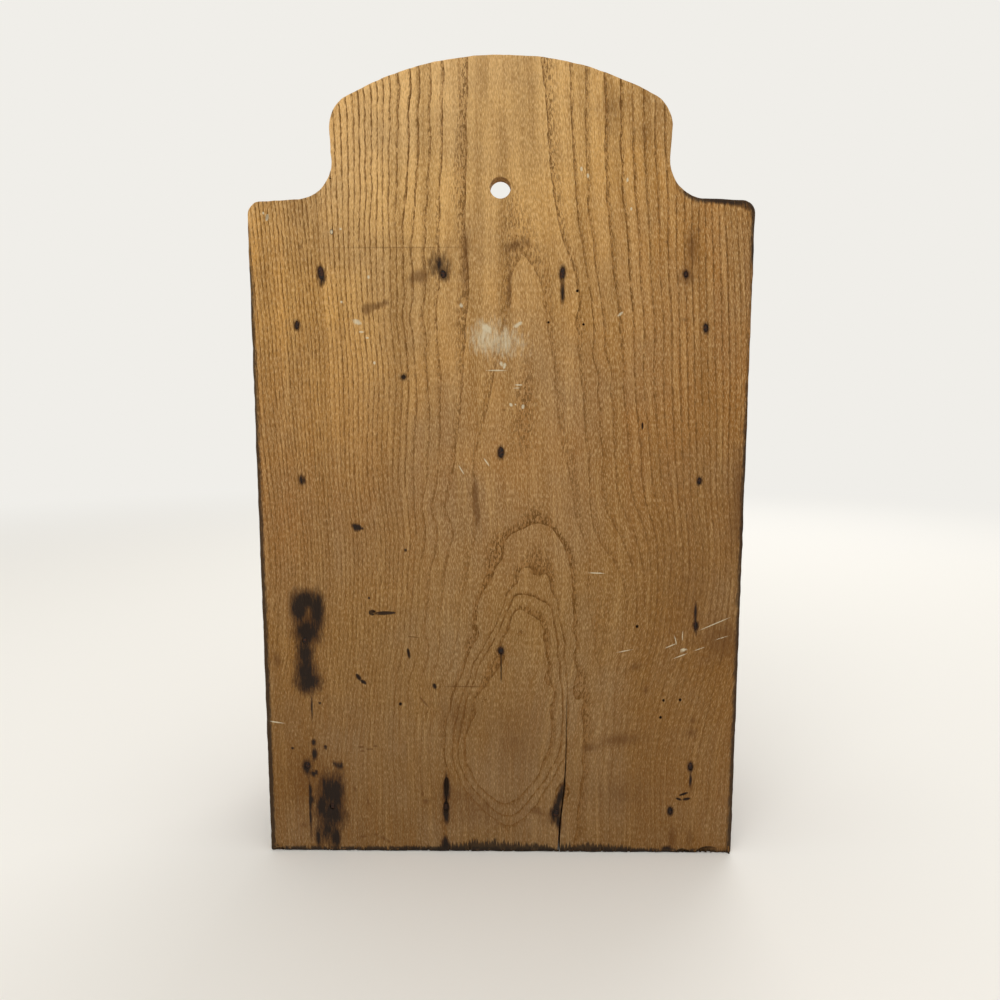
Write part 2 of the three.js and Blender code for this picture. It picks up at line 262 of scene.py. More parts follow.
    # colour: the wood from foot to crest, dark at the foot and gold at the crest, partly its age and mostly
    # painted light from above, and a little darker high on the right, painted light from the upper left,
    # then what has happened to it
    height = add(tree, "Math", {0: up, 1: paintedLightTop}, operation="DIVIDE")
    tilt = add(tree, "Math", {0: height, 1: 0.22}, operation="SUBTRACT")
    tilt = add(tree, "Math", {0: tilt, 1: right}, operation="MULTIPLY")
    height = add(tree, "Math", {0: tilt, 1: -0.0024, 2: height}, operation="MULTIPLY_ADD")
    woodAndPaintedLight = add(tree, "ValToRGB", {0: height})
    tones = woodAndPaintedLight.color_ramp.elements
    tones[0].color = linear("70502a")
    tones[1].color = linear("eabd7c")
    for at, code in ((0.19, "7e5c31"), (0.32, "8a6739"), (0.52, "9e7341"), (0.7, "be9052"), (0.8, "d1a361"),
                     (0.93, "e0b371")):
        tones.new(at).color = linear(code)
    warm = add(tree, "Math", {0: shares["warm"], 1: warmer}, operation="MULTIPLY")
    colour = add(tree, "Mix", {"Factor": warm, "A": woodAndPaintedLight.outputs[0], "B": (0.93, 0.79, 0.52, 1)},
                 data_type="RGBA", blend_type="MULTIPLY")
    for name, code in (("grey", "876f52"), ("streaks", "87612c"), ("gold", "d6ab6e"), ("dark", "85561f"),
                       ("light", "ecc791"), ("dim", "81531f"), ("soft", "85551e"), ("line", "714a1b"),
                       ("pores", "664418"), ("smeared", "5c3814"), ("bled", "40260f"), ("rusted", "1b130e"),
                       ("rubbed", "d6cbae"), ("rim", "2b1f15"), ("foot", "20170f"), ("deep", "342213")):
        colour = add(tree, "Mix", {"Factor": shares[name], "A": colour, "B": linear(code)}, data_type="RGBA")
    lift = add(tree, "Math", {0: noises["specks"], 1: 0.7}, operation="MULTIPLY")
    for name, depth in (("pores", -0.8), ("line", -0.6)):
        lift = add(tree, "Math", {0: shares[name], 1: depth, 2: lift}, operation="MULTIPLY_ADD")
    finish(tree, colour, shares["rough"], lift, 0.3, 0.7, {"Specular IOR Level": 0.22})
    return material


def makePlank(name, along, look):
    # sawn wood as a solid: growth rings round a heart beside the board, pores along the grain.
    # The attribute plank shifts the pattern from board to board; wear is 1 on rounded edges.
    def lengthwise(wide, length):
        return [length if axis == along else wide for axis in "xyz"]

    material, tree, where = newMaterial(name)
    plank, handled, wear = [add(tree, "Attribute", {}, attribute_name=name).outputs["Fac"]
                            for name in ("plank", "handled", "wear")]
    away = add(tree, "VectorMath", {0: (0.31, 0.23, 0.17), "Scale": plank}, operation="SCALE")
    where = add(tree, "VectorMath", {0: where, 1: away}, operation="ADD")
    where = add(tree, "VectorMath", {0: where, "Scale": 1000}, operation="SCALE")
    drift = add(tree, "Mapping", {"Vector": where, "Scale": lengthwise(1 / 35, 0.12 / 35)})
    drift = add(tree, "TexNoise", {"Vector": drift, "Scale": 1, "Detail": 2, "Roughness": 0.5})
    bend = add(tree, "VectorMath", {0: drift.outputs["Color"], 1: (14, 14, 14)}, operation="MULTIPLY")
    bent = add(tree, "VectorMath", {0: where, 1: bend}, operation="ADD")
    heart = add(tree, "Mapping", {"Vector": bent, "Location": look["heart"], "Scale": lengthwise(1, 0.04)})
    ring = add(tree, "VectorMath", {0: heart}, operation="LENGTH")
    ring = add(tree, "Math", {0: ring, 1: look["ring"]}, operation="DIVIDE")
    part = add(tree, "Math", {0: ring}, operation="FRACT")
    noises = {}
    for name, wide, length, detail in (("pores", look["pore"], look["poreLength"], 1), ("fibre", 0.9, 45, 3),
                                       ("streak", 7, 140, 2)):
        grain = add(tree, "Mapping", {"Vector": bent, "Scale": lengthwise(1 / wide, 1 / length)})
        noises[name] = add(tree, "TexNoise", {"Vector": grain, "Scale": 1, "Detail": detail})
    cloudy = add(tree, "TexNoise", {"Vector": where, "Scale": 1 / 28, "Detail": 4, "Roughness": 0.6})
    cloud, patchy, duller = add(tree, "SeparateColor", {0: cloudy.outputs["Color"]}).outputs
    worn = add(tree, "Math", {0: patchy, 1: 1.6, 2: wear}, operation="MULTIPLY_ADD")
    shares = {}
    for name, value, low, high, least, most in (
            ("begins", part, 0, 0.05, 0, 1), ("pores", noises["pores"], 0.54, 0.66, 0, 1),
            ("cloud", cloud, 0.38, 0.68, 0, 0.5), ("streaks", noises["streak"], 0.42, 0.68, 0, 0.45),
            ("fibre", noises["fibre"], 0.42, 0.66, 0, 0.4), ("worn", worn, 1.6, 2.05, 0, look["wear"]),
            ("rough", duller, 0.3, 0.7, *look["rough"])):
        shares[name] = add(tree, "MapRange", {"Value": value, "From Min": low, "From Max": high,
                                              "To Min": least, "To Max": most})
    spring = add(tree, "MapRange", {"Value": part, "From Min": 0.42, "From Max": 0.02},
                 interpolation_type="SMOOTHSTEP")
    spring = add(tree, "Math", {0: spring, 1: shares["begins"]}, operation="MULTIPLY")
    amount = add(tree, "Math", {0: spring, 1: 0.8, 2: 0.15}, operation="MULTIPLY_ADD")
    pores = add(tree, "Math", {0: shares["pores"], 1: amount}, operation="MULTIPLY")
    pores = add(tree, "Math", {0: pores, 1: look["poreStrength"]}, operation="MULTIPLY")
    soft = add(tree, "Math", {0: spring, 1: look["ringStrength"]}, operation="MULTIPLY")
    tone = add(tree, "TexWhiteNoise", {"W": plank}, noise_dimensions="1D")
    tone = add(tree, "Math", {0: tone.outputs["Value"], 1: 0.35}, operation="MULTIPLY")
    grimy = add(tree, "Math", {0: duller, 1: handled}, operation="MULTIPLY")
    colour = linear(look["body"])
    for amount, code in ((tone, "other"), (shares["cloud"], "grime"), (shares["streaks"], "other"),
                         (shares["fibre"], "bright"), (soft, "dark"), (pores, "pores"), (grimy, "grime"),
                         (shares["worn"], "worn")):
        colour = add(tree, "Mix", {"Factor": amount, "A": colour, "B": linear(look[code])}, data_type="RGBA")
    rough = add(tree, "Math", {0: shares["worn"], 1: 0.25, 2: shares["rough"]}, operation="MULTIPLY_ADD")
    lift = add(tree, "Math", {0: noises["fibre"], 1: 0.4}, operation="MULTIPLY")
    for depth, strength in ((pores, -0.8), (spring, -0.4)):
        lift = add(tree, "Math", {0: depth, 1: strength, 2: lift}, operation="MULTIPLY_ADD")
    finish(tree, colour, rough, lift, look["relief"], 0.7, {"Specular IOR Level": look["gloss"]})
    return material


# oil varnish over stained oak: deep brown, half gloss, rubbed through to tan on its corners
varnished = {
    "heart": (-90, -70, -110), "ring": 3.4, "ringStrength": 0.5,
    "pore": 0.5, "poreLength": 7, "poreStrength": 0.9,
    "body": "7d4e24", "other": "613a17", "grime": "452b13", "bright": "9a662d", "dark": "4c2c10",
    "pores": "26150a", "worn": "ad8045", "wear": 0.75, "rough": (0.34, 0.55), "gloss": 0.35, "relief": 0.22,
}
frontLook = dict(varnished, body="875627", other="6b431b", bright="a5702f", grime="4d3015", rough=(0.3, 0.5))
# poplar left bare inside the drawers: pale, close grained, greenish brown streaks, dull
poplarLook = {
    "heart": (-60, -80, -70), "ring": 5.5, "ringStrength": 0.28,
    "pore": 0.35, "poreLength": 4, "poreStrength": 0.4,
    "body": "b8966a", "other": "9a8258", "grime": "8d6f4a", "bright": "c9aa7c", "dark": "8f6d45",
    "pores": "6b4d2e", "worn": "8a6844", "wear": 0.6, "rough": (0.7, 0.88), "gloss": 0.3, "relief": 0.15,
}


def makeMaple():
    # turned maple, stained and polished by fingers: fine flecks, faint lathe lines, soft shine
    material, tree, where = newMaterial("turned_maple")
    where = add(tree, "VectorMath", {0: where, "Scale": 1000}, operation="SCALE")
    fleck = add(tree, "Mapping", {"Vector": where, "Scale": (1.6, 0.2, 1.6)})
    fleck = add(tree, "TexNoise", {"Vector": fleck, "Scale": 1, "Detail": 3})
    cloud = add(tree, "TexNoise", {"Vector": where, "Scale": 1 / 7, "Detail": 3, "Roughness": 0.6})
    turns = add(tree, "Mapping", {"Vector": where, "Scale": (0, 2.6, 0)})
    turns = add(tree, "TexNoise", {"Vector": turns, "Scale": 1, "Detail": 1})
    colour = linear("603712")
    for amount, low, high, most, code in (
            (fleck, 0.45, 0.7, 0.4, "855021"), (cloud, 0.42, 0.7, 0.7, "3a1f09"),
            (turns, 0.5, 0.75, 0.35, "331e0d")):
        amount = add(tree, "MapRange", {"Value": amount, "From Min": low, "From Max": high, "To Max": most})
        colour = add(tree, "Mix", {"Factor": amount, "A": colour, "B": linear(code)}, data_type="RGBA")
    rough = add(tree, "MapRange", {"Value": cloud, "From Min": 0.3, "From Max": 0.7, "To Min": 0.22,
                                   "To Max": 0.42})
    lift = add(tree, "Math", {0: turns, 1: 0.6, 2: fleck}, operation="MULTIPLY_ADD")
    finish(tree, colour, rough, lift, 0.1, 0.6, {"Specular IOR Level": 0.4})
    return material


def makeIron():
    # cut iron nails: hammered, rusted brown to black, dull
    material, tree, where = newMaterial("rusted_cut_nail_iron")
    where = add(tree, "VectorMath", {0: where, "Scale": 1000}, operation="SCALE")
    rust = add(tree, "TexNoise", {"Vector": where, "Scale": 0.9, "Detail": 4, "Roughness": 0.65})
    pits = add(tree, "TexNoise", {"Vector": where, "Scale": 3, "Detail": 2})
    spread = add(tree, "MapRange", {"Value": rust, "From Min": 0.45, "From Max": 0.62})
    colour = add(tree, "Mix", {"Factor": spread, "A": linear("17120f"), "B": linear("4a2a18")},
                 data_type="RGBA")
    rough = add(tree, "MapRange", {"Value": rust, "From Min": 0.3, "From Max": 0.7, "To Min": 0.5,
                                   "To Max": 0.85})
    finish(tree, colour, rough, pits, 0.15, 0.7, {"Metallic": 0.5})
    return material


weatheredOak = makeWeatheredOak()
oakUpright = makePlank("varnished_oak_upright", "z", varnished)
oakAcross = makePlank("varnished_oak_across", "x", varnished)
oakFront = makePlank("varnished_oak_drawer_front", "x", frontLook)
poplarAlong = makePlank("bare_poplar_along", "y", poplarLook)
poplarAcross = makePlank("bare_poplar_across", "x", poplarLook)
turnedMaple = makeMaple()
nailIron = makeIron()
print("materials made")


rubbedReach = 2.5 * mm  # how far wear fades out beside an edge


def toObjectMode():
    if bpy.context.mode != "OBJECT":
        bpy.ops.object.mode_set(mode="OBJECT")


def alone(piece):
    toObjectMode()
    bpy.ops.object.select_all(action="DESELECT")
    piece.select_set(True)
    bpy.context.view_layer.objects.active = piece


def wholeMesh():
    # edit mode with everything selected
    bpy.ops.object.mode_set(mode="EDIT")
    bpy.ops.mesh.select_all(action="SELECT")


def choose(piece, kind, test):
    # selects, in edit mode, only the edges or faces that pass the test
    alone(piece)
    bpy.ops.object.mode_set(mode="EDIT")
    bpy.ops.mesh.select_mode(type=kind)
    bpy.ops.mesh.select_all(action="DESELECT")
    toObjectMode()
    mesh = piece.data
    for part in {"EDGE": mesh.edges, "FACE": mesh.polygons}[kind]:
        part.select = bool(test(part))
    bpy.ops.object.mode_set(mode="EDIT")


def settle(piece):
    # place, turn and size go into the mesh
    alone(piece)
    bpy.ops.object.transform_apply(location=True, rotation=True, scale=True)


def discard(piece):
    alone(piece)
    bpy.ops.object.delete()


def applyModifier(piece, kind, **settings):
    alone(piece)
    modifier = piece.modifiers.new(kind.lower(), kind)
    for name, value in settings.items():
        setattr(modifier, name, value)
    bpy.ops.object.modifier_apply(modifier=modifier.name)


def unsettle(piece, texture, depth, middle=0.5, group=""):
    # pushes the surface in and out by a texture
    applyModifier(piece, "DISPLACE", texture=texture, strength=depth, mid_level=middle,
                  texture_coords="LOCAL", direction="NORMAL", vertex_group=group)


def smooth(piece, angle):
    alone(piece)
    bpy.ops.object.shade_smooth_by_angle(angle=math.radians(angle))


def extrudeAlong(path):
    # grows the selection through (move, size) steps, each size against the last one
    for move, size in path:
        bpy.ops.mesh.extrude_region_move(TRANSFORM_OT_translate={"value": move})
        bpy.ops.transform.resize(value=size)


def mergedCopy(node, name):
    # a copy of a CAD node with its loose triangles joined into whole faces
    alone(nodes[node])
    bpy.ops.object.duplicate()
    piece = bpy.context.object
    piece.name = name
    piece.data.name = name
    del piece["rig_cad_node"]
    piece.data.materials.clear()
    wholeMesh()
    bpy.ops.mesh.customdata_custom_splitnormals_clear()
    bpy.ops.mesh.remove_doubles(threshold=0.01 * mm)
    bpy.ops.mesh.dissolve_limited(angle_limit=math.radians(1))
    toObjectMode()
    return piece


def outerEdges(piece, wanted=None):
    # keys of the edges that stand out, turned by 40 degrees or more
    mesh = piece.data
    beside = {}
    for face in mesh.polygons:
        for key in face.edge_keys:
            beside.setdefault(key, []).append(face)
    keys = set()
    for key, faces in beside.items():
        if len(faces) != 2 or wanted and not wanted(mesh.vertices[key[0]].co):
            continue
        one, two = faces
        if one.normal.angle(two.normal, 0) < math.radians(40):
            continue
        if (two.center - one.center).dot(one.normal) < 0:
            keys.add(key)
    return keys


def ease(piece, width, segments, wanted=None):
    # rounds the outer edges and marks their faces with the second material slot
    keys = outerEdges(piece, wanted)
    choose(piece, "EDGE", lambda edge: edge.key in keys)
    bpy.ops.mesh.bevel(offset=width, offset_type="OFFSET", segments=segments, profile=0.5,
                       affect="EDGES", clamp_overlap=False)
    toObjectMode()
    for face in piece.data.polygons:
        face.material_index = 1 if face.select else 0


def slices(piece, axis, places):
    # cuts the whole mesh across at each place along an axis
    bpy.ops.object.mode_set(mode="EDIT")
    across = [0, 0, 0]
    across[axis] = 1
    for place in places:
        bpy.ops.mesh.select_all(action="SELECT")
        bpy.ops.mesh.bisect(plane_co=[place * part for part in across], plane_no=across,
                            threshold=0.02 * mm)
    toObjectMode()


def steps(low, high, count):
    return [low + (high - low) * i / count for i in range(1, count)]


def pointsOf(piece):
    return np.array([vertex.co[:] for vertex in piece.data.vertices])


def setAttribute(piece, name, values):
    mesh = piece.data
    layer = mesh.attributes.get(name) or mesh.attributes.new(name, "FLOAT", "POINT")
    layer.data.foreach_set("value", values)


def markWear(piece, corners, width):
    # the attribute wear is 1 on the rounded edges and fades beside them
    places = pointsOf(piece)
    nearest = np.full(len(places), 1.0)
    for start, end in np.array(corners):
        along = end - start
        part = np.clip((places - start) @ along / (along @ along), 0, 1)
        nearest = np.minimum(nearest, np.linalg.norm(places - start - part[:, None] * along, axis=1))
    setAttribute(piece, "wear", np.clip(1 - (nearest - width) / rubbedReach, 0, 1))


def clouds(name, size, depth=2):
    texture = bpy.data.textures.new(name, "CLOUDS")
    texture.noise_scale = size
    texture.noise_depth = depth
    return texture


unevenness = clouds("hand_planed_hollows", 30 * mm)
dents = clouds("knocks_and_dents", 7 * mm)
hammering = clouds("hammer_marks", 1.3 * mm, 1)


def dress(piece, node, body, material):
    piece.data.materials.clear()
    piece.data.materials.append(material)
    if node:
        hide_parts(node)
    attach(piece, body)


def placedCopy(piece, name, move=(0, 0, 0), turn=(0, 0, 0), size=(1, 1, 1)):
    # a copy with its own mesh, moved and turned about the origin
    alone(piece)
    bpy.ops.object.duplicate()
    copy = bpy.context.object
    copy.name = name
    copy.data.name = name
    copy.parent = None
    copy.location = move
    copy.rotation_mode = "XYZ"
    copy.rotation_euler = turn
    copy.scale = size
    settle(copy)
    return copy


# nails seen on the rear face: to the right and up in mm, head half width and half height, lean in degrees
rearNails = [
    (-97.4, 334.2, 1.5, 3.6, 6), (-31, 333.6, 1.3, 2, 12), (33.6, 333.8, 1.2, 3.2, -4),
    (100.2, 333.2, 1, 1.3, 10), (-99.1, 28.2, 1.3, 1.7, 6), (-32, 28, 1.1, 1.8, 0),
    (32.9, 24.6, 1.5, 2.2, -12), (99.9, 26.2, 1.1, 2, 3), (-111.3, 306.6, 1.1, 2.1, -6),
    (-111.2, 221.8, 1.1, 2, 4), (-112.6, 129, 1.2, 1.7, 0), (-113.2, 53.3, 1.3, 1.9, 3),
    (111.9, 304.8, 1.1, 2, 1), (111, 221.2, 0.9, 1.6, -2), (111.4, 138.4, 0.9, 2.2, 4),
    (111, 53.8, 1.1, 2, 1), (0.4, 237, 1.4, 2.8, 0), (0.4, 123.1, 1.3, 1.8, 0),
]
rearY = 67.75 * mm
backBoard = {
    "thickness": 9.5,
    "hole": (0, 378.5 * mm, 5.55 * mm),
    "holeEdge": 0.35 * mm,
    "rim": 1.1 * mm,  # rounded by wear
    "aroundHole": 12 * mm,  # holds the hole's edges and no others
    "cells": (13, 21),  # columns and rows of the front face's grid
    "finer": 7,  # how many times as many the rear has before its cells are halved
    "smallMarks": (1.0, 0.7),  # half width or height in mm under which a mark's cells are halved again
    "marksFrom": (61, 4),  # Y in mm from which marks show, and over how much they grow
    "warp": 0.25 * mm,
    "rimWander": 0.8 * mm,
    "rimReach": 5 * mm,
    "rimWidth": 2.2 * mm,  # points nearer than this to the rounded edges don't lie in a hollow
    "insides": (0.2 * mm, 8.5 * mm),  # nor do points that aren't between these depths
    "darkest": 1.6 * mm,  # depth from which a hollow is fully dark
    "varnishFrom": 1.2 * mm,  # depth from which a hollow's painted shade is fully dark
    "nailDish": (0.3, 1.1, 0.4),  # mm beside the head, into the board, and above and below the head
    "nailHalo": (0.9, 1.2, 0.9),  # mm beside the head, above and below it, and softness
    # how dark the rounded edge is painted at each height, grime and painted shade, on the left and the right
    # as seen from behind
    "rimDirtAndShade": [(0, 1.3, 1.2), (60, 1.3, 1.1), (150, 1.2, 1), (230, 1.05, 1), (300, 1, 0.75),
                (330, 0.95, 0.8), (352, 0.8, 0.9), (366, 0.6, 1.1), (372, 0.65, 1.1), (382, 0.5, 0.6),
                (400, 0.3, 0.35), (446, 0.25, 0.25)],
    # how high the black dirt climbs from the lower end, from left to right as seen from behind
    "footDirt": [(-137, 2.5), (-125, 1.8), (-108, 1.8), (-62, 1.8), (-55, 3.4), (-38, 2.6), (-34, 6),
                 (-28, 4.5), (-18, 7), (0, 6.5), (14, 5.5), (28, 5), (33, 2), (37, 5), (58, 5.5), (74, 4),
                 (82, 2.4), (137, 1.6)],
    # the split that runs up from the lower end past a nail: across, up, half width and depth in mm
    "split": [(34.6, -1, 0.75, 12), (34.8, 8, 0.62, 12), (35.4, 20, 0.5, 11), (37.4, 38, 0.42, 7),
              (38.3, 56, 0.3, 4), (38.4, 78, 0.2, 2), (38.2, 100, 0.08, 0.4)],
    # hollows and holes: across, up, half width, depth, half height in mm, lean in degrees
    "hollows": [
        (-31.7, 36.5, 0.5, 0.8, 13, 0), (-31.6, 41.1, 1.6, 1.1, 6, 0), (-31.9, 27.5, 1.7, 1.2, 5, 0),
        (-66.8, 145.2, 7.4, 0.7, 1.1, 2), (-73.2, 145.5, 2.2, 0.9, 1.8, 0),
        (-125.7, 363.4, 1, 0.6, 1.6, -15), (-91, 355.8, 0.8, 0.5, 1.3, 0), (33.6, 326, 0.7, 0.6, 6, 0),
        (41.8, 324.6, 0.75, 3, 0.75, 0), (26.2, 307.9, 0.55, 3, 0.55, 0), (45.3, 306.8, 0.6, 3, 0.6, 0),
        (78.1, 137.8, 0.75, 3, 0.9, 0), (94.3, 93.9, 0.65, 3, 0.8, 0), (103.8, 94.3, 0.7, 3, 0.9, 0),
        (92.8, 83.7, 0.75, 3, 0.8, 0), (-53.3, 278.5, 1.3, 0.7, 1.2, 0), (-52.8, 121.7, 0.7, 0.9, 2.9, 10),
        (-38, 102, 0.8, 0.7, 1.7, 20), (-57.9, 91.1, 0.8, 1.2, 0.9, 0), (99.8, 26.3, 1.2, 1, 2.6, 0),
        (107.4, 37, 2.6, 0.7, 0.6, 20), (104.6, 33.8, 1.8, 0.7, 0.5, -20), (109.2, 33.9, 2.1, 0.7, 0.7, 10),
        (-82, 107.3, 0.9, 0.7, 2.2, 30), (-79.1, 104.3, 1.9, 0.6, 0.8, -35), (78.6, 251.7, 0.4, 0.7, 2, 0),
        (0.4, 113, 0.25, 0.9, 9.5, 0), (122, 1, 7, 2.2, 3.5, 8), (108, 0.5, 4, 1.6, 2.6, -6),
        (-132, 0.3, 3.5, 1.2, 2, 20),
    ],
    # slivers gone from the lower end: how many, and what share of them at the rear face, then
    # places across, widths and depths in mm, and heights: the least, the most above that, in
    # mm too, and a power that makes tall ones rare
    "splinters": (170, 0.75),
    "splinterPlaces": (-136, 136),
    "splinterWidths": (0.5, 2.4),
    "splinterDepths": (0.4, 2.6),
    "splinterHeights": (1.2, 5.5, 2.2),
}


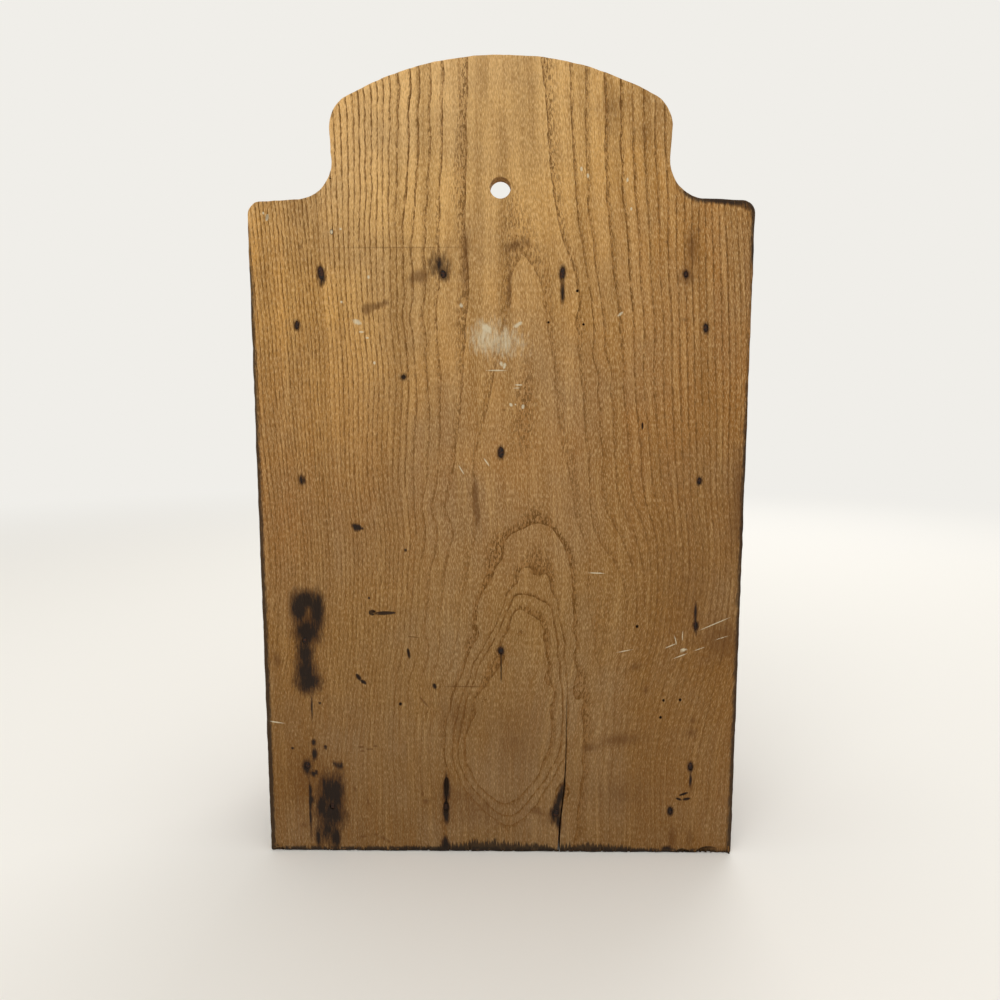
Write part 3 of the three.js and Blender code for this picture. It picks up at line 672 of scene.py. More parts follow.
# The rear board's figure, measured on it in mm: how far right of the middle the heart of the
# figure lies at each height, how many growth rings the surface has climbed there, and how many
# rings lie between the heart and each distance from it, in the upper and the lower part.
figure = {
    "heart": [(0, 2.5), (58, 3), (80, 6.3), (100, 10.3), (125, 15.4), (140, 16.5), (165, 18.5), (190, 18),
              (207, 16.5), (265, 13.5), (304, 12.5), (349, 9.5), (398, 4.6), (446, 2.1)],
    "climbed": [(0, -1.6), (17, -2), (23, -3), (31, -4), (45, -4.5), (60, -4.6), (100, -4.55), (125, -4.2),
                (135, -4), (155, -3), (166, -2), (196, -1), (265, -0.5), (304, -0.27), (349, 0),
                (370, 0.12), (398, 0.28), (446, 0.45)],
    "upper": [(-150, 39.4), (-138.5, 34.9), (-127.5, 29.4), (-119, 25.4), (-111, 21.4), (-101, 17.4),
              (-91, 13.4), (-83, 10.7), (-80.5, 9.8), (-78, 8.8), (-75, 7.9), (-71, 7), (-68, 6),
              (-64.4, 5), (-60, 4), (-51.7, 3), (-44.7, 2), (-30, 1), (-21, 0.6), (-12, 0.25), (0, 0),
              (10, 0.2), (20.7, 0.6), (30.7, 1), (36.3, 2), (42, 3), (51.3, 4), (59.7, 5), (65.5, 6),
              (71.8, 7), (77.1, 8), (80.8, 8.8), (89, 10.7), (96.4, 12.6), (101.8, 14.1), (116.4, 18.2),
              (135, 24.7), (150, 29.7)],
    "lower": [(-150, 43.1), (-138, 38.1), (-125, 31.1), (-115, 26.1), (-105, 21.6), (-96, 17.6),
              (-84, 13.1), (-76, 11.1), (-70, 9.7), (-64, 8.6), (-57.4, 7.6), (-53.6, 6.6), (-49.4, 5.6),
              (-44.6, 4.6), (-35.9, 3.6), (-31, 2.6), (-27.5, 1.6), (-23.3, 0.6), (0, 0), (21.7, 0.6),
              (28.7, 1.6), (32.3, 2.6), (44, 3.6), (56.2, 4.6), (65, 5.6), (73, 6.9), (82, 8.7), (91, 10.8),
              (100, 13), (116, 17.2), (135, 23.7), (150, 28.7)],
    "climbedAside": [(0, -4.5), (107, -4.8), (160, -4), (330, -0.3), (446, 0.4)],
    "changes": ((125, 168), (150, 182)),  # heights between which the lower part ends, left and right
    "changesAside": (90, 330),
    "aside": (12, 48),  # mm from the heart
    "straight": (42, 92),  # from here to there the lower rings straighten out
    "sides": (-6, 6),  # mm from the heart, between which the left's changes turn into the right's
    # the tree's own unevenness: size, then length across, into and up the board in mm, and shift
    "wander": [(2.2, 45, 60, 130, 0), (0.7, 14, 30, 40, 7)],  # mm aside
    "stray": [(0.22, 26, 60, 50, 3)],  # rings more or fewer
    # how much the fibres follow the heart's bends, from how far left of it, growing over how many mm
    "follow": (1.35, 50, 120),
    "heartRing": 20,  # the number of the heart's ring, so that none is below 0
    "ringsDeeper": 0.12,  # fewer for each mm into the board
    "paceLimits": (1.6, 30),  # mm from one ring to the next
    # points on the rings round the heart, which the figure is drawn onto
    "traced": {
        -4.45: [
            (4, 106), (11, 82), (7, 64), (2, 48), (16, 118), (10, 122), (16, 110), (10, 94), (18, 95),
            (2, 90), (-6, 82), (18, 70), (0, 72), (-10, 62), (14, 52), (8, 44), (-4, 46),
        ],
        -4: [
            (-4, 107), (-1, 112), (2, 117), (4, 122), (8, 132), (13, 136), (20, 135), (24, 129), (26, 121),
            (27, 112), (28, 102), (29, 92), (29, 82), (28, 70), (26, 60), (23, 51), (19, 44), (14, 38),
            (9, 33), (3, 31), (-3, 33), (-9, 38), (-14, 44), (-18, 52), (-20, 61), (-20, 69), (-18, 77),
            (-14, 85), (-11, 94), (-7, 101),
        ],
        -3: [
            (-14, 109), (-11.5, 115), (-8.5, 121), (-5, 127), (-2, 134), (1, 139), (3, 145), (7, 154),
            (13, 156), (18.5, 155), (24, 152), (29, 148), (30, 142), (32, 134), (33, 125), (34.5, 114),
            (35.5, 102), (36, 94), (36, 82), (35.5, 70), (33, 59), (28, 50), (23, 41), (17, 33), (11, 26),
            (4, 23), (-3, 26), (-9, 32.5), (-16, 40), (-21, 49), (-24, 58), (-24, 69), (-22, 80), (-20, 91),
            (-17, 100),
        ],
        -2: [
            (0, 143), (3, 150), (7.5, 160), (10, 166), (20, 166), (28, 166), (31, 154), (33, 144),
            (35, 133), (36, 120), (37, 110), (38, 100), (38.5, 94), (38.5, 82), (38, 70), (36, 57.5),
            (31, 47), (25, 38), (19, 28), (13, 21), (5, 17), (-4, 22), (-12, 29), (-19, 38), (-24, 47),
            (-27, 57), (-27, 68), (-25.5, 79), (-23, 90), (-19.5, 100), (-16.5, 108), (-11, 121), (-7, 128),
            (-3, 135),
        ],
        -1: [
            (-11, 155), (-8, 160), (-4, 167), (-1, 173), (2, 179), (4, 189), (13, 194), (20, 197),
            (26, 196), (31, 192), (34, 187), (37, 181), (39, 174), (40, 169), (41, 157), (42, 141),
            (44, 127), (45, 110), (46, 96), (48, 82), (48, 70), (48, 55), (47, 39), (45, 23), (-13, 147),
            (-14, 136), (-17.5, 126), (-20, 116), (-24, 106), (-28, 94), (-31, 82), (-32, 69), (-32, 57),
            (-32, 39), (-33, 17), (-33, 3), (44, 10), (43, 1), (47, 89), (48, 76), (48, 62), (48, 47),
            (46, 30),
        ],
        -1.5: [(-20, 14), (-8, 9), (6, 7), (18, 8), (28, 14), (36, 25)],
        -1.3: [(-26, 4), (-12, 1), (4, 0), (20, 1), (34, 5), (38, 14)],
        -0.5: [(-37, 30), (-37, 12), (53, 60), (53, 40), (52, 20), (51, 5)],
        0: [
            (10, 340), (6, 332), (6, 319), (3, 308), (0, 294), (-3, 280), (-5, 270), (-7, 261), (-10, 252),
            (-12, 244), (-14, 234), (-14, 224), (-15, 210), (-13, 195), (-15, 185), (-17, 177), (-21, 159),
            (-23, 144), (-24, 132), (-26, 120), (-30, 109), (-35, 94), (-39, 82), (-41, 69), (-41, 57),
            (-40, 39), (-41, 22), (-42, 6), (13, 343), (21, 330), (23, 321), (25, 309), (27, 298),
            (29, 288), (30, 277), (31, 263), (33, 250), (35, 236), (39, 223), (41, 211), (43, 198),
            (47, 188), (50, 171), (51, 144), (53, 132), (54, 120), (57, 106), (59, 94), (60, 77), (60, 58),
            (59, 33), (59, 15), (58, 3),
        ],
        1: [
            (-18, 348), (-17, 334), (-17, 319), (-19, 301), (-20, 285), (-21, 269), (-23, 251), (-25, 234),
            (-27, 219), (-26, 192), (-30, 175), (-32, 155), (-34, 134), (-36, 115), (-41, 88), (-46, 62),
            (-45, 32), (-46, 15), (-47, 3), (39, 338), (40, 308), (42, 294), (44, 277), (46, 258),
            (47, 244), (49, 230), (-16.9, 441), (-17.2, 425), (-17.4, 405), (-17.8, 389), (-18.3, 375),
            (21.8, 440), (23.7, 425), (24.7, 412), (25.5, 400), (26.4, 389), (28.4, 375), (30.2, 365),
        ],
        2: [
            (-33, 351), (-34, 319), (-34, 299), (-32, 278), (-33, 258), (-34, 237), (-35, 223), (-38, 207),
            (-39, 173), (-41, 155), (-43, 134), (-46, 106), (-47, 89), (-50, 62), (-50, 45), (45, 341),
            (49, 320), (51, 305), (54, 277), (55, 258), (57, 237), (-29.9, 441), (-30.3, 425), (-30.7, 405),
            (-31.4, 390), (-32.3, 375), (36.2, 439), (36.6, 425), (37.6, 407), (38.9, 389), (40.1, 375),
            (41.3, 365),
        ],
        3: [
            (-40, 351), (-40, 334), (-41, 319), (-40, 299), (-40, 282), (-39, 265), (-39, 244), (-40, 223),
            (-42, 197), (-44, 178), (-46, 154), (-47, 129), (-50, 112), (-53, 86), (-54, 64), (-53, 45),
            (-53, 26), (50, 349), (54, 321), (56, 306), (57, 292), (60, 271), (62, 254), (63, 236),
            (65, 216), (-36.1, 438), (-36.2, 425), (-36.5, 405), (-37, 390), (-38.1, 375), (44.4, 439),
            (44.6, 425), (45.1, 405), (46, 385), (46.7, 365),
        ],
        4: [
            (-48, 348), (-47, 329), (-49, 312), (-47, 292), (-46, 271), (-47, 251), (-48, 233), (-48, 213),
            (-42.4, 436), (-42.7, 423), (-43.2, 405), (-44.2, 389), (-45.5, 375), (54.2, 435), (55.1, 420),
            (55.4, 405), (55.6, 393), (56.5, 380), (57.6, 366),
        ],
        5: [
            (-52, 348), (-52, 319), (-51, 292), (-50, 271), (-52, 244), (-53, 223), (-46.7, 436),
            (-47, 423), (-47.7, 405), (-48.5, 389), (-49.7, 375), (62.5, 432), (63, 420), (63.1, 402),
            (64.3, 385), (64.9, 374),
        ],
        6: [
            (-53.6, 434), (-53.8, 421), (-54.4, 405), (-55.1, 389), (-55.6, 375), (68.9, 429), (69.6, 415),
            (70, 403), (70.8, 389), (71.7, 374),
        ],
        7: [
            (-57.8, 432), (-58, 420), (-58.3, 405), (-58.8, 389), (-59.3, 375), (74.7, 427), (75.5, 412),
            (76.1, 395), (77.9, 374),
        ],
        8: [
            (-61.6, 432), (-61.8, 418), (-62.2, 403), (-62.8, 389), (-63.3, 375), (81, 423), (81.5, 405),
            (82.4, 389), (83.8, 374),
        ],
        9: [(-64.9, 430), (-64.9, 416), (-65.1, 400), (-65.3, 385), (-65.5, 375)],
        10: [(-67.7, 426), (-67.8, 411), (-68.1, 395), (-68.5, 375)],
    },
    "pulls": (18, 6),  # mm over which the traced points pull the figure, first roughly and then closely
    "slack": 0.05,  # how far a traced point gives way to its neighbours
}


def softOvals(softness, *rows):
    # right, up, half width and half height in mm, then the edge's softness and the lean in
    # degrees where they aren't the usual ones
    return [row + (softness, 0)[len(row) - 4:] for row in rows]


ironStains = softOvals(
    0.7,
    (-115.4, 147.3, 5, 11, 0.8, 6), (-111, 152.5, 7.4, 6.5, 0.8), (-104.8, 146, 4.6, 13, 0.8, -4),
    (-110.8, 134, 8, 8.5, 0.8), (-112.4, 121, 5.4, 14, 1), (-112.4, 110, 6, 9, 0.9),
    (-111.3, 104.5, 8, 8, 0.9), (-109.5, 89.1, 0.58, 9.08, 0.8), (-104.7, 91.5, 0.87, 0.91),
    (-102.3, 64.7, 1.17, 1.53), (-121.6, 64, 0.88, 0.92), (-109.2, 67.8, 1.47, 2.45, 0.6),
    (-108.8, 60.4, 1.76, 4.3, 0.7, -5), (-113.5, 52.4, 2.94, 4.94, 0.8), (-109.8, 48.1, 1.77, 1.86),
    (-108, 49.3, 1.18, 1.55), (-96.7, 54, 1.18, 2.47, 0.7, 10), (-93.7, 53.4, 1.47, 2.78, 0.7, -10),
    (-112.2, 26.9, 0.71, 20.03), (-100.8, 38, 6, 11, 0.9, 10), (-96.4, 36, 5, 14, 0.9, -5),
    (-105, 28.2, 4.4, 10, 0.9), (-99.3, 22.6, 9, 9, 1), (-108, 8.1, 1.79, 7.59, 0.8),
    (-97.3, 8.1, 2.8, 10, 0.8), (-102.5, 13.1, 6, 9, 1.3), (-111.9, 38.1, 1.18, 3.73, 0.8),
    (-111.4, 31.9, 1.48, 3.12, 0.8), (-31.6, 38.5, 2.3, 8.2, 0.8), (-32, 23.5, 2.1, 6.6),
    (-31.8, 34.2, 0.88, 13.69), (-32.5, 4.8, 2.67, 5.06, 0.8), (32.5, 25.3, 3.24, 4.99, 0.7, -15),
    (35.2, 35.3, 2.1, 10.5, 0.8, -13), (32.8, 27, 2.4, 9.5, 0.8, -13), (34.4, 19.1, 1.77, 5.64, 0.8),
    (-53.3, 278.5, 2.1, 2, 1.3), (-80.6, 195, 1.98, 2, 0.6), (-79.5, 193.8, 3.11, 1.14, 0.7, 20),
    (-82.3, 195, 1.41, 2.57, 0.7, 30), (-52.8, 121.7, 0.98, 3.27, 0.7, 10), (-38, 102, 1.16, 2.1, 0.7, 20),
    (-57.9, 91.1, 0.99, 1.09, 0.6), (-74.9, 154, 0.69, 0.88), (-82, 107.3, 1.16, 2.4, 0.7, 30),
    (-79.1, 104.3, 2.03, 1.02, 0.7, -35), (-53.7, 181.8, 0.85, 1.15), (111.3, 138.8, 0.85, 6.44, 0.8, 5),
    (111.1, 146.4, 0.85, 5.83, 0.9), (78.1, 137.8, 0.85, 1, 0.5), (94.3, 93.9, 0.75, 0.96, 0.5),
    (103.8, 94.3, 0.81, 1.02, 0.5), (92.8, 83.7, 0.87, 0.97, 0.5), (111.1, 53, 1.46, 3.07, 0.8),
    (111.3, 45.6, 0.88, 4.93, 0.9), (107.5, 36.9, 2.92, 0.81, 0.7, 20), (104.6, 33.8, 2.05, 0.74, 0.7, -20),
    (109.3, 33.9, 2.34, 0.93, 0.7, 10), (99.8, 26.3, 1.47, 3.11, 0.8), (33.7, 324, 1.35, 6.87, 1),
    (100.2, 333.2, 1.08, 1.31, 0.6), (78.6, 251.7, 0.55, 2.2, 0.6), (41.8, 324.6, 0.81, 0.79, 0.4),
    (45.3, 306.8, 0.65, 0.69, 0.4), (26.2, 307.9, 0.6, 0.64, 0.4), (-96.6, 330.1, 1.63, 3.17, 1, -20),
    (-33.3, 338.4, 5.2, 5.6, 1.7), (-29.7, 333.7, 2.6, 2.6, 2), (136.4, 344.9, 2, 8, 1),
    (122.3, 370.4, 10.6, 1.3, 1.6, -8), (114.8, 371.6, 3.7, 1.4, 1.6), (131.5, 368.2, 3.7, 1.4, 1.6, -30),
    (0.5, 114.2, 0.35, 10.72, 0.8), (98.4, 3.1, 3.54, 1.58, 0.9), (137.5, 13.5, 1.47, 4.39),
    (138, 0.9, 1.77, 2.52),
)
brownSmears = softOvals(
    1,
    (-110, 138, 12.66, 17.68), (-111.4, 110.1, 8.7, 14.96), (-128.9, 117.2, 2.9, 6.56, 1, 5),
    (-100.2, 32, 11.83, 21.84), (-115.8, 16.2, 2.68, 2.2, 0.9), (-81.2, 9.5, 3.57, 1.26, 0.8),
    (-74, 10.2, 2.08, 1.26, 0.8, 10), (-69.3, 8.3, 2.97, 1.26, 0.8, -15), (-65.8, 6.4, 1.49, 1.26, 0.8),
    (-77.8, 30.9, 1.33, 2.81, 0.8), (-43.6, 31.4, 2.65, 2.18, 0.9), (-45.8, 36.2, 0.9, 1.9, 0.6),
    (-46.9, 40.4, 1.18, 2.17, 0.9), (-85.8, 38.9, 1.18, 1.86, 0.8), (-81.2, 64.9, 2.34, 0.8, 0.4),
    (-76.5, 63.6, 2.64, 0.8, 0.4), (-72.9, 65.5, 1.76, 0.7, 0.4), (-80.6, 62.4, 1.76, 0.7, 0.4),
    (-66.8, 145.2, 7.73, 1.47, 0.8, 2), (-73.1, 145.8, 1.72, 1.76, 0.8), (-25.4, 83.4, 12, 15, 1.9, 20),
    (-22.8, 34.3, 16, 8, 1.8, -20), (-31.7, 34.3, 3.54, 18.67), (-53.9, 347.6, 54, 0.55, 1.7),
    (-43.8, 332.6, 6.6, 4.6, 0.7, 10), (-48.2, 330.5, 2.72, 3.17), (-18.8, 339.9, 2.7, 23.61, 1, -2),
    (-18.8, 350.4, 4, 8, 2), (-72.7, 315.2, 3.55, 4.2, 0.6, -30), (-66.9, 316.8, 4.8, 2.3, 0.6, 15),
    (-62.6, 318.4, 3.2, 2.2, 0.8, 20), (102.8, 347.5, 4.56, 13.01), (101.1, 332.4, 5.39, 6.83),
    (7.6, 348.3, 6.47, 3.65, 1, 10), (14.1, 349.8, 3.77, 3.13, 1, -20), (5, 328.3, 1.9, 18.47, 1, -2),
    (3.8, 346.2, 2.16, 3.66), (2.3, 260.5, 1.66, 0.82), (-13.9, 212.1, 1.9, 13.5, 0.6),
    (-12.8, 201.9, 1.6, 9.5, 0.6), (77.7, 113.9, 4.59, 2.97, 1, 10), (83.8, 100.2, 1.73, 2.69, 0.9),
    (111.1, 82.2, 2.02, 2.42, 0.9), (111.3, 74.4, 3.18, 4.25), (111.4, 43.1, 1.75, 7.41),
    (101.2, 9.4, 3.54, 9.43), (111.8, 9.5, 2.36, 8.17), (70, 38, 22, 13, 2.2), (21.6, 25.8, 4.12, 3.12),
    (19, 27.7, 1.47, 1.56, 0.9), (23.7, 24, 1.77, 1.56, 0.9), (-8.1, 29.4, 2.95, 2.81),
    (69.4, 69.9, 17.42, 4.87, 1, 6), (52, 64.9, 6.98, 3.05, 1, 6), (-108.3, 348, 1.36, 1.57, 0.9),
    (89.3, 350.2, 1.61, 1.3, 0.9), (106.5, 356.1, 1.34, 1.55, 0.9), (100.1, 309.1, 1.63, 1.6, 0.9),
    (132, 238.5, 0.83, 1.11, 0.9), (128.1, 130, 17.09, 17.65), (133.6, 210.6, 6.12, 45.02),
    (-21.8, 101.8, 16.77, 0.48, 0.8), (-112.3, 44.3, 17.7, 27.91, 1.8), (111.2, 144.6, 2.84, 12.85),
    (108, 160, 45, 95, 3.2), (8, 68, 18, 30, 2.2), (-14, 24, 26, 12, 2.4), (29, 22, 5, 5, 1.3),
    (60, 419, 10, 13, 2.4), (77, 405, 5, 7, 2.4), (-44.2, 92.4, 0.6, 4.6, 0.5, 38),
    (-50, 131.2, 4.2, 0.5, 0.5, -6),
)
paleMarks = softOvals(
    0.7,
    (-9.5, 300, 7.5, 9, 2.6), (2, 297.5, 14, 9.5, 2.6, -8), (-8.1, 305, 1.64, 2.41, 0.7, 10),
    (-5.9, 303.9, 1.37, 1.61, 0.7, -20), (10.2, 307.1, 2.18, 0.91, 0.7, 30), (8.8, 306, 1.36, 0.8, 0.7, 30),
    (2.3, 284.5, 0.82, 1.89, 0.6, -20), (0.6, 285.6, 0.82, 1.35, 0.6, 10), (10, 274.2, 2.75, 0.44),
    (8.9, 272.5, 2.2, 0.33, 0.7, 5), (5.9, 263.3, 0.94, 1.37, 0.6, 25), (12.5, 262.2, 0.94, 1.64, 0.6, -10),
    (8.4, 263.5, 0.55, 0.55, 0.6), (-2.1, 282.1, 6.59, 0.33), (-125.7, 363.4, 1.08, 2.08, 0.6, -15),
    (-127.5, 365.7, 0.81, 0.78, 0.6), (-91, 355.8, 0.92, 1.56, 0.6), (-86.1, 357.3, 0.81, 0.62, 0.6),
    (-78.3, 308.2, 3.29, 1.61, 1, -20), (-76, 302.9, 1.64, 0.64), (-72.8, 299.7, 1.1, 0.65),
    (-71.5, 332.1, 0.82, 1.32, 0.6), (-86.6, 318.9, 0.82, 0.8, 0.6), (-69.2, 286.2, 0.83, 1.08, 0.6),
    (-21.1, 317.2, 1.63, 1.33, 1), (43.2, 387.8, 0.8, 1.53, 0.6), (46.7, 384.5, 0.8, 1.53, 0.6),
    (67.7, 382.2, 0.64, 1.28, 0.6), (70.1, 367.3, 0.64, 1.03, 0.6), (65.3, 312.3, 2.71, 0.8, 0.9, 40),
    (97.4, 126.4, 4, 0.38, 0.7, 24), (122.1, 139.4, 12.5, 0.35, 0.7, 24),
    (103.3, 120.5, 5.72, 0.36, 0.7, 22), (114, 124.7, 4.57, 0.3, 0.7, 20),
    (126.4, 131.2, 5.69, 0.26, 0.7, 18), (104.1, 132.3, 0.28, 4.12), (100.2, 129.9, 0.29, 3.53, 0.7, 15),
    (104.9, 124, 2.86, 1.18, 0.9, 15), (71.2, 123.3, 5.72, 0.35, 0.7, 12),
    (54.5, 168.8, 5.66, 0.38, 0.7, -2), (-131.1, 79.9, 6.44, 0.43, 0.7, -8),
    (-21.7, 227.2, 0.39, 3.36, 0.7, 30), (-7.7, 231.7, 0.39, 3.35, 0.7, 35),
)


def softLine(points, reach):
    # a curve through (place, value) points with its corners rounded over some mm
    places, values = zip(*points)
    grid = np.arange(places[0] - 3 * reach, places[-1] + 3 * reach, 0.5)
    weights = np.hanning(4 * reach + 1)
    rounded = np.convolve(np.interp(grid, places, values), weights / weights.sum(), mode="same")
    return lambda place: np.interp(place, grid, rounded)


def smoothStep(value, low, high):
    t = np.clip((value - low) / (high - low), 0, 1)
    return t * t * (3 - 2 * t)


def paintFigure(piece):
    # attributes for the growth rings counted from the heart of the figure, for the mm from one
    # ring to the next, and for how far across the board each fibre lies once it is straightened
    heart, climbed, climbedAside, upper, lower = [softLine(figure[name], reach) for name, reach in (
        ("heart", 12), ("climbed", 5), ("climbedAside", 20), ("upper", 5), ("lower", 4))]

    def swayAt(right, into, up):
        # the tree's own unevenness: mm aside, and rings more or fewer
        spots = list(zip(right, into, up))
        sways = []
        for name in ("wander", "stray"):
            sways.append(np.zeros(len(spots)))
            for size, wide, thick, tall, shift in figure[name]:
                places = [Vector((r / wide, i / thick + shift, u / tall)) for r, i, u in spots]
                sways[-1] += size * np.array([noise.noise(place) for place in places])
        return sways

    def profileAt(right, up, wander, stray):
        offset = right - heart(up) + wander
        aside = smoothStep(np.abs(offset), *figure["aside"])
        onRight = smoothStep(offset, *figure["sides"])
        left, right = [smoothStep(up, *ends) for ends in figure["changes"]]
        inner = left + (right - left) * onRight
        outer = smoothStep(up, *figure["changesAside"])
        part = inner + (outer - inner) * aside
        climb = climbed(up) + (climbedAside(up) - climbed(up)) * aside
        curved = (1 - part) * lower(offset) + part * upper(offset) + climb
        straight = smoothStep(np.abs(offset), *figure["straight"])
        return curved + (upper(offset) - curved) * straight + stray

    def closeness(right, up, reach):
        apart = (right[:, None] - tracedRight) ** 2 + (up[:, None] - tracedUp) ** 2
        return np.exp(apart / (-2 * reach ** 2))

    # the traced points pull the figure onto them, roughly and then closely
    traced = [(ring, right, up) for ring, points in figure["traced"].items() for right, up in points]
    rings, tracedRight, tracedUp = np.array(traced, float).T
    atRear = np.full(len(rings), rearY / mm)
    amiss = rings - profileAt(tracedRight, tracedUp, *swayAt(tracedRight, atRear, tracedUp))
    pulls = []
    for reach in figure["pulls"]:
        near = closeness(tracedRight, tracedUp, reach)
        pull = np.linalg.solve(near + figure["slack"] * np.eye(len(rings)), amiss)
        amiss = amiss - near @ pull
        pulls.append((reach, pull))

    def ringAt(right, up):
        return profileAt(right, up, *sway) + sum(closeness(right, up, reach) @ pull for reach, pull in pulls)

    places = pointsOf(piece) / mm
    right, into, up = -places[:, 0], places[:, 1], places[:, 2]
    sway = swayAt(right, into, up)
    ring = ringAt(right, up)
    step = 0.5
    slope = np.hypot(ringAt(right + step, up) - ring, ringAt(right, up + step) - ring) / step
    share, start, reach = figure["follow"]
    lean = -share * np.clip((right - heart(up) + start) / reach, 0, 1)
    setAttribute(piece, "ring", ring + figure["heartRing"] + figure["ringsDeeper"] * (into - rearY / mm))
    setAttribute(piece, "pace", np.clip(1 / np.maximum(slope, 0.01), *figure["paceLimits"]))
    setAttribute(piece, "across", right + lean * heart(up) + sway[0])
    print("figure: traced rings within", round(float(np.abs(amiss).max()), 2), "of a ring")


def nearness(places, mark, margin):
    # 1 or more in the middle of a soft oval, 0 at its edge, less beyond it
    right, up, halfAcross, halfUp, softness, lean = mark
    aside = -places[:, 0] - right
    above = places[:, 2] - up
    turn = math.radians(lean)
    short = (aside * math.cos(turn) + above * math.sin(turn)) / (halfAcross + margin)
    long = (above * math.cos(turn) - aside * math.sin(turn)) / (halfUp + margin)
    return (1 - np.hypot(short, long)) / softness


def paintMarks(piece, name, marks):
    # an attribute that is 1 in the middle of each soft oval, 0 at its edge and -1 away from it,
    # where ovals meet they run together
    places = pointsOf(piece) / mm
    start, reach = backBoard["marksFrom"]
    rear = np.clip((places[:, 1] - start) / reach, 0, 1)
    sharpness, furthest = 5, -1.5
    whole = np.full(len(places), math.exp(-sharpness))
    for mark in marks:
        near = np.clip(nearness(places, mark, 0), furthest, 1)
        whole += np.exp(sharpness * near) - math.exp(sharpness * furthest)
    whole = np.clip(np.log(whole) / sharpness, -1, 1)
    setAttribute(piece, name, whole * rear - (1 - rear))


def refineMarks(piece, marks, most):
    # halves the rear faces under marks whose half width or half height is less than most
    centres = np.array([face.center[:] for face in piece.data.polygons]) / mm
    under = np.zeros(len(centres), bool)
    for mark in marks:
        if min(mark[2], mark[3]) < most:
            under |= nearness(centres, mark, 1.0) > 0
    choose(piece, "FACE", lambda face: under[face.index] and face.normal.y > 0.9)
    bpy.ops.mesh.subdivide(number_cuts=1)
    toObjectMode()


def dish(right, up, halfAcross, halfInto, halfUp, lean):
    # an egg that scoops a hollow
    bpy.ops.mesh.primitive_ico_sphere_add(subdivisions=2, radius=1)
    egg = bpy.context.object
    egg.scale = [half * mm for half in (halfAcross, halfInto, halfUp)]
    egg.rotation_euler = (0, math.radians(lean), 0)
    egg.location = (-right * mm, rearY, up * mm)
    settle(egg)
    return egg


def splinter(right, into, width, depth, height):
    # a pointed sliver that is missing from the lower end
    bpy.ops.mesh.primitive_cone_add(vertices=5, radius1=1, radius2=0, depth=1, location=(0, 0, 0.5))
    cone = bpy.context.object
    settle(cone)
    cone.scale = (width / 2 * mm, depth * mm, height * mm)
    cone.location = (-right * mm, into * mm, -0.4 * mm)
    settle(cone)
    return cone


def splitCutter(path):
    # a wedge as wide and deep as the split, drawn up along it
    right, up, half, depth = path[0]
    bpy.ops.mesh.primitive_plane_add(size=1)
    wedge = bpy.context.object
    wedge.scale = (2 * half * mm, depth * mm, 1)
    wedge.location = (-right * mm, rearY + 0.5 * mm - depth / 2 * mm, up * mm)
    settle(wedge)
    wholeMesh()
    extrudeAlong([
        ((-(then[0] - now[0]) * mm, (now[3] - then[3]) / 2 * mm, (then[1] - now[1]) * mm),
         (then[2] / now[2], then[3] / now[3], 1)) for now, then in zip(path, path[1:])])
    bpy.ops.mesh.select_all(action="SELECT")
    bpy.ops.mesh.normals_make_consistent(inside=False)
    toObjectMode()
    return wedge


def cutAway(piece, cutters):
    alone(cutters[0])
    for cutter in cutters:
        cutter.select_set(True)
    if len(cutters) > 1:
        bpy.ops.object.join()
    tool = bpy.context.object
    applyModifier(piece, "BOOLEAN", object=tool, operation="DIFFERENCE", solver="EXACT",
                  use_self=len(cutters) > 1)
    discard(tool)


def gridBoard(piece):
    # a fine grid on the rear and the rim, finest under small marks, and a coarse one on the front
    low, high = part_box("back_board")
    columns, rows = backBoard["cells"]
    for front, finer in ((True, 1), (False, backBoard["finer"])):
        choose(piece, "FACE", lambda face: (face.normal.y < -0.9) == front)
        bpy.ops.mesh.hide(unselected=True)
        toObjectMode()
        slices(piece, 0, steps(low.x, high.x, columns * finer))
        slices(piece, 2, steps(low.z, high.z, rows * finer))
        bpy.ops.object.mode_set(mode="EDIT")
        bpy.ops.mesh.reveal(select=False)
        toObjectMode()
    choose(piece, "FACE", lambda face: face.normal.y > 0.9)
    bpy.ops.mesh.subdivide(number_cuts=1)
    toObjectMode()
    for most in backBoard["smallMarks"]:
        refineMarks(piece, ironStains + brownSmears + paleMarks, most)


def rimFinder(piece):
    # finds the nearest point of the rounded edges
    mesh = piece.data
    rim = {index for face in mesh.polygons if face.material_index == 1 for index in face.vertices}
    tree = kdtree.KDTree(len(rim))
    for index in rim:
        tree.insert(mesh.vertices[index].co, index)
    tree.balance()
    return tree


def nearRim(finder, piece):
    # for each point of the piece, 1 on the rounded edges and 0 out of their reach
    return [max(0, 1 - finder.find(vertex.co)[2] / backBoard["rimReach"]) for vertex in piece.data.vertices]


def boardCutters():
    # the split, the nails' dishes, the hollows and gouges, and the slivers gone from the lower end
    made = [splitCutter(backBoard["split"])]
    aside, deep, above = backBoard["nailDish"]
    for right, up, halfWidth, halfHeight, lean in rearNails:
        made.append(dish(right, up, halfWidth + aside, deep, halfHeight + above, lean))
    made += [dish(*hollow) for hollow in backBoard["hollows"]]
    chance = random.Random(7)
    count, atRear = backBoard["splinters"]
    least, more, rarity = backBoard["splinterHeights"]
    for _ in range(count):
        face = rearY / mm - (0 if chance.random() < atRear else backBoard["thickness"])
        height = least + more * chance.random() ** rarity
        right, width, depth = [chance.uniform(*backBoard["splinter" + kind]) for kind in
                               ("Places", "Widths", "Depths")]
        made.append(splinter(right, face, width, depth, height))
    return made


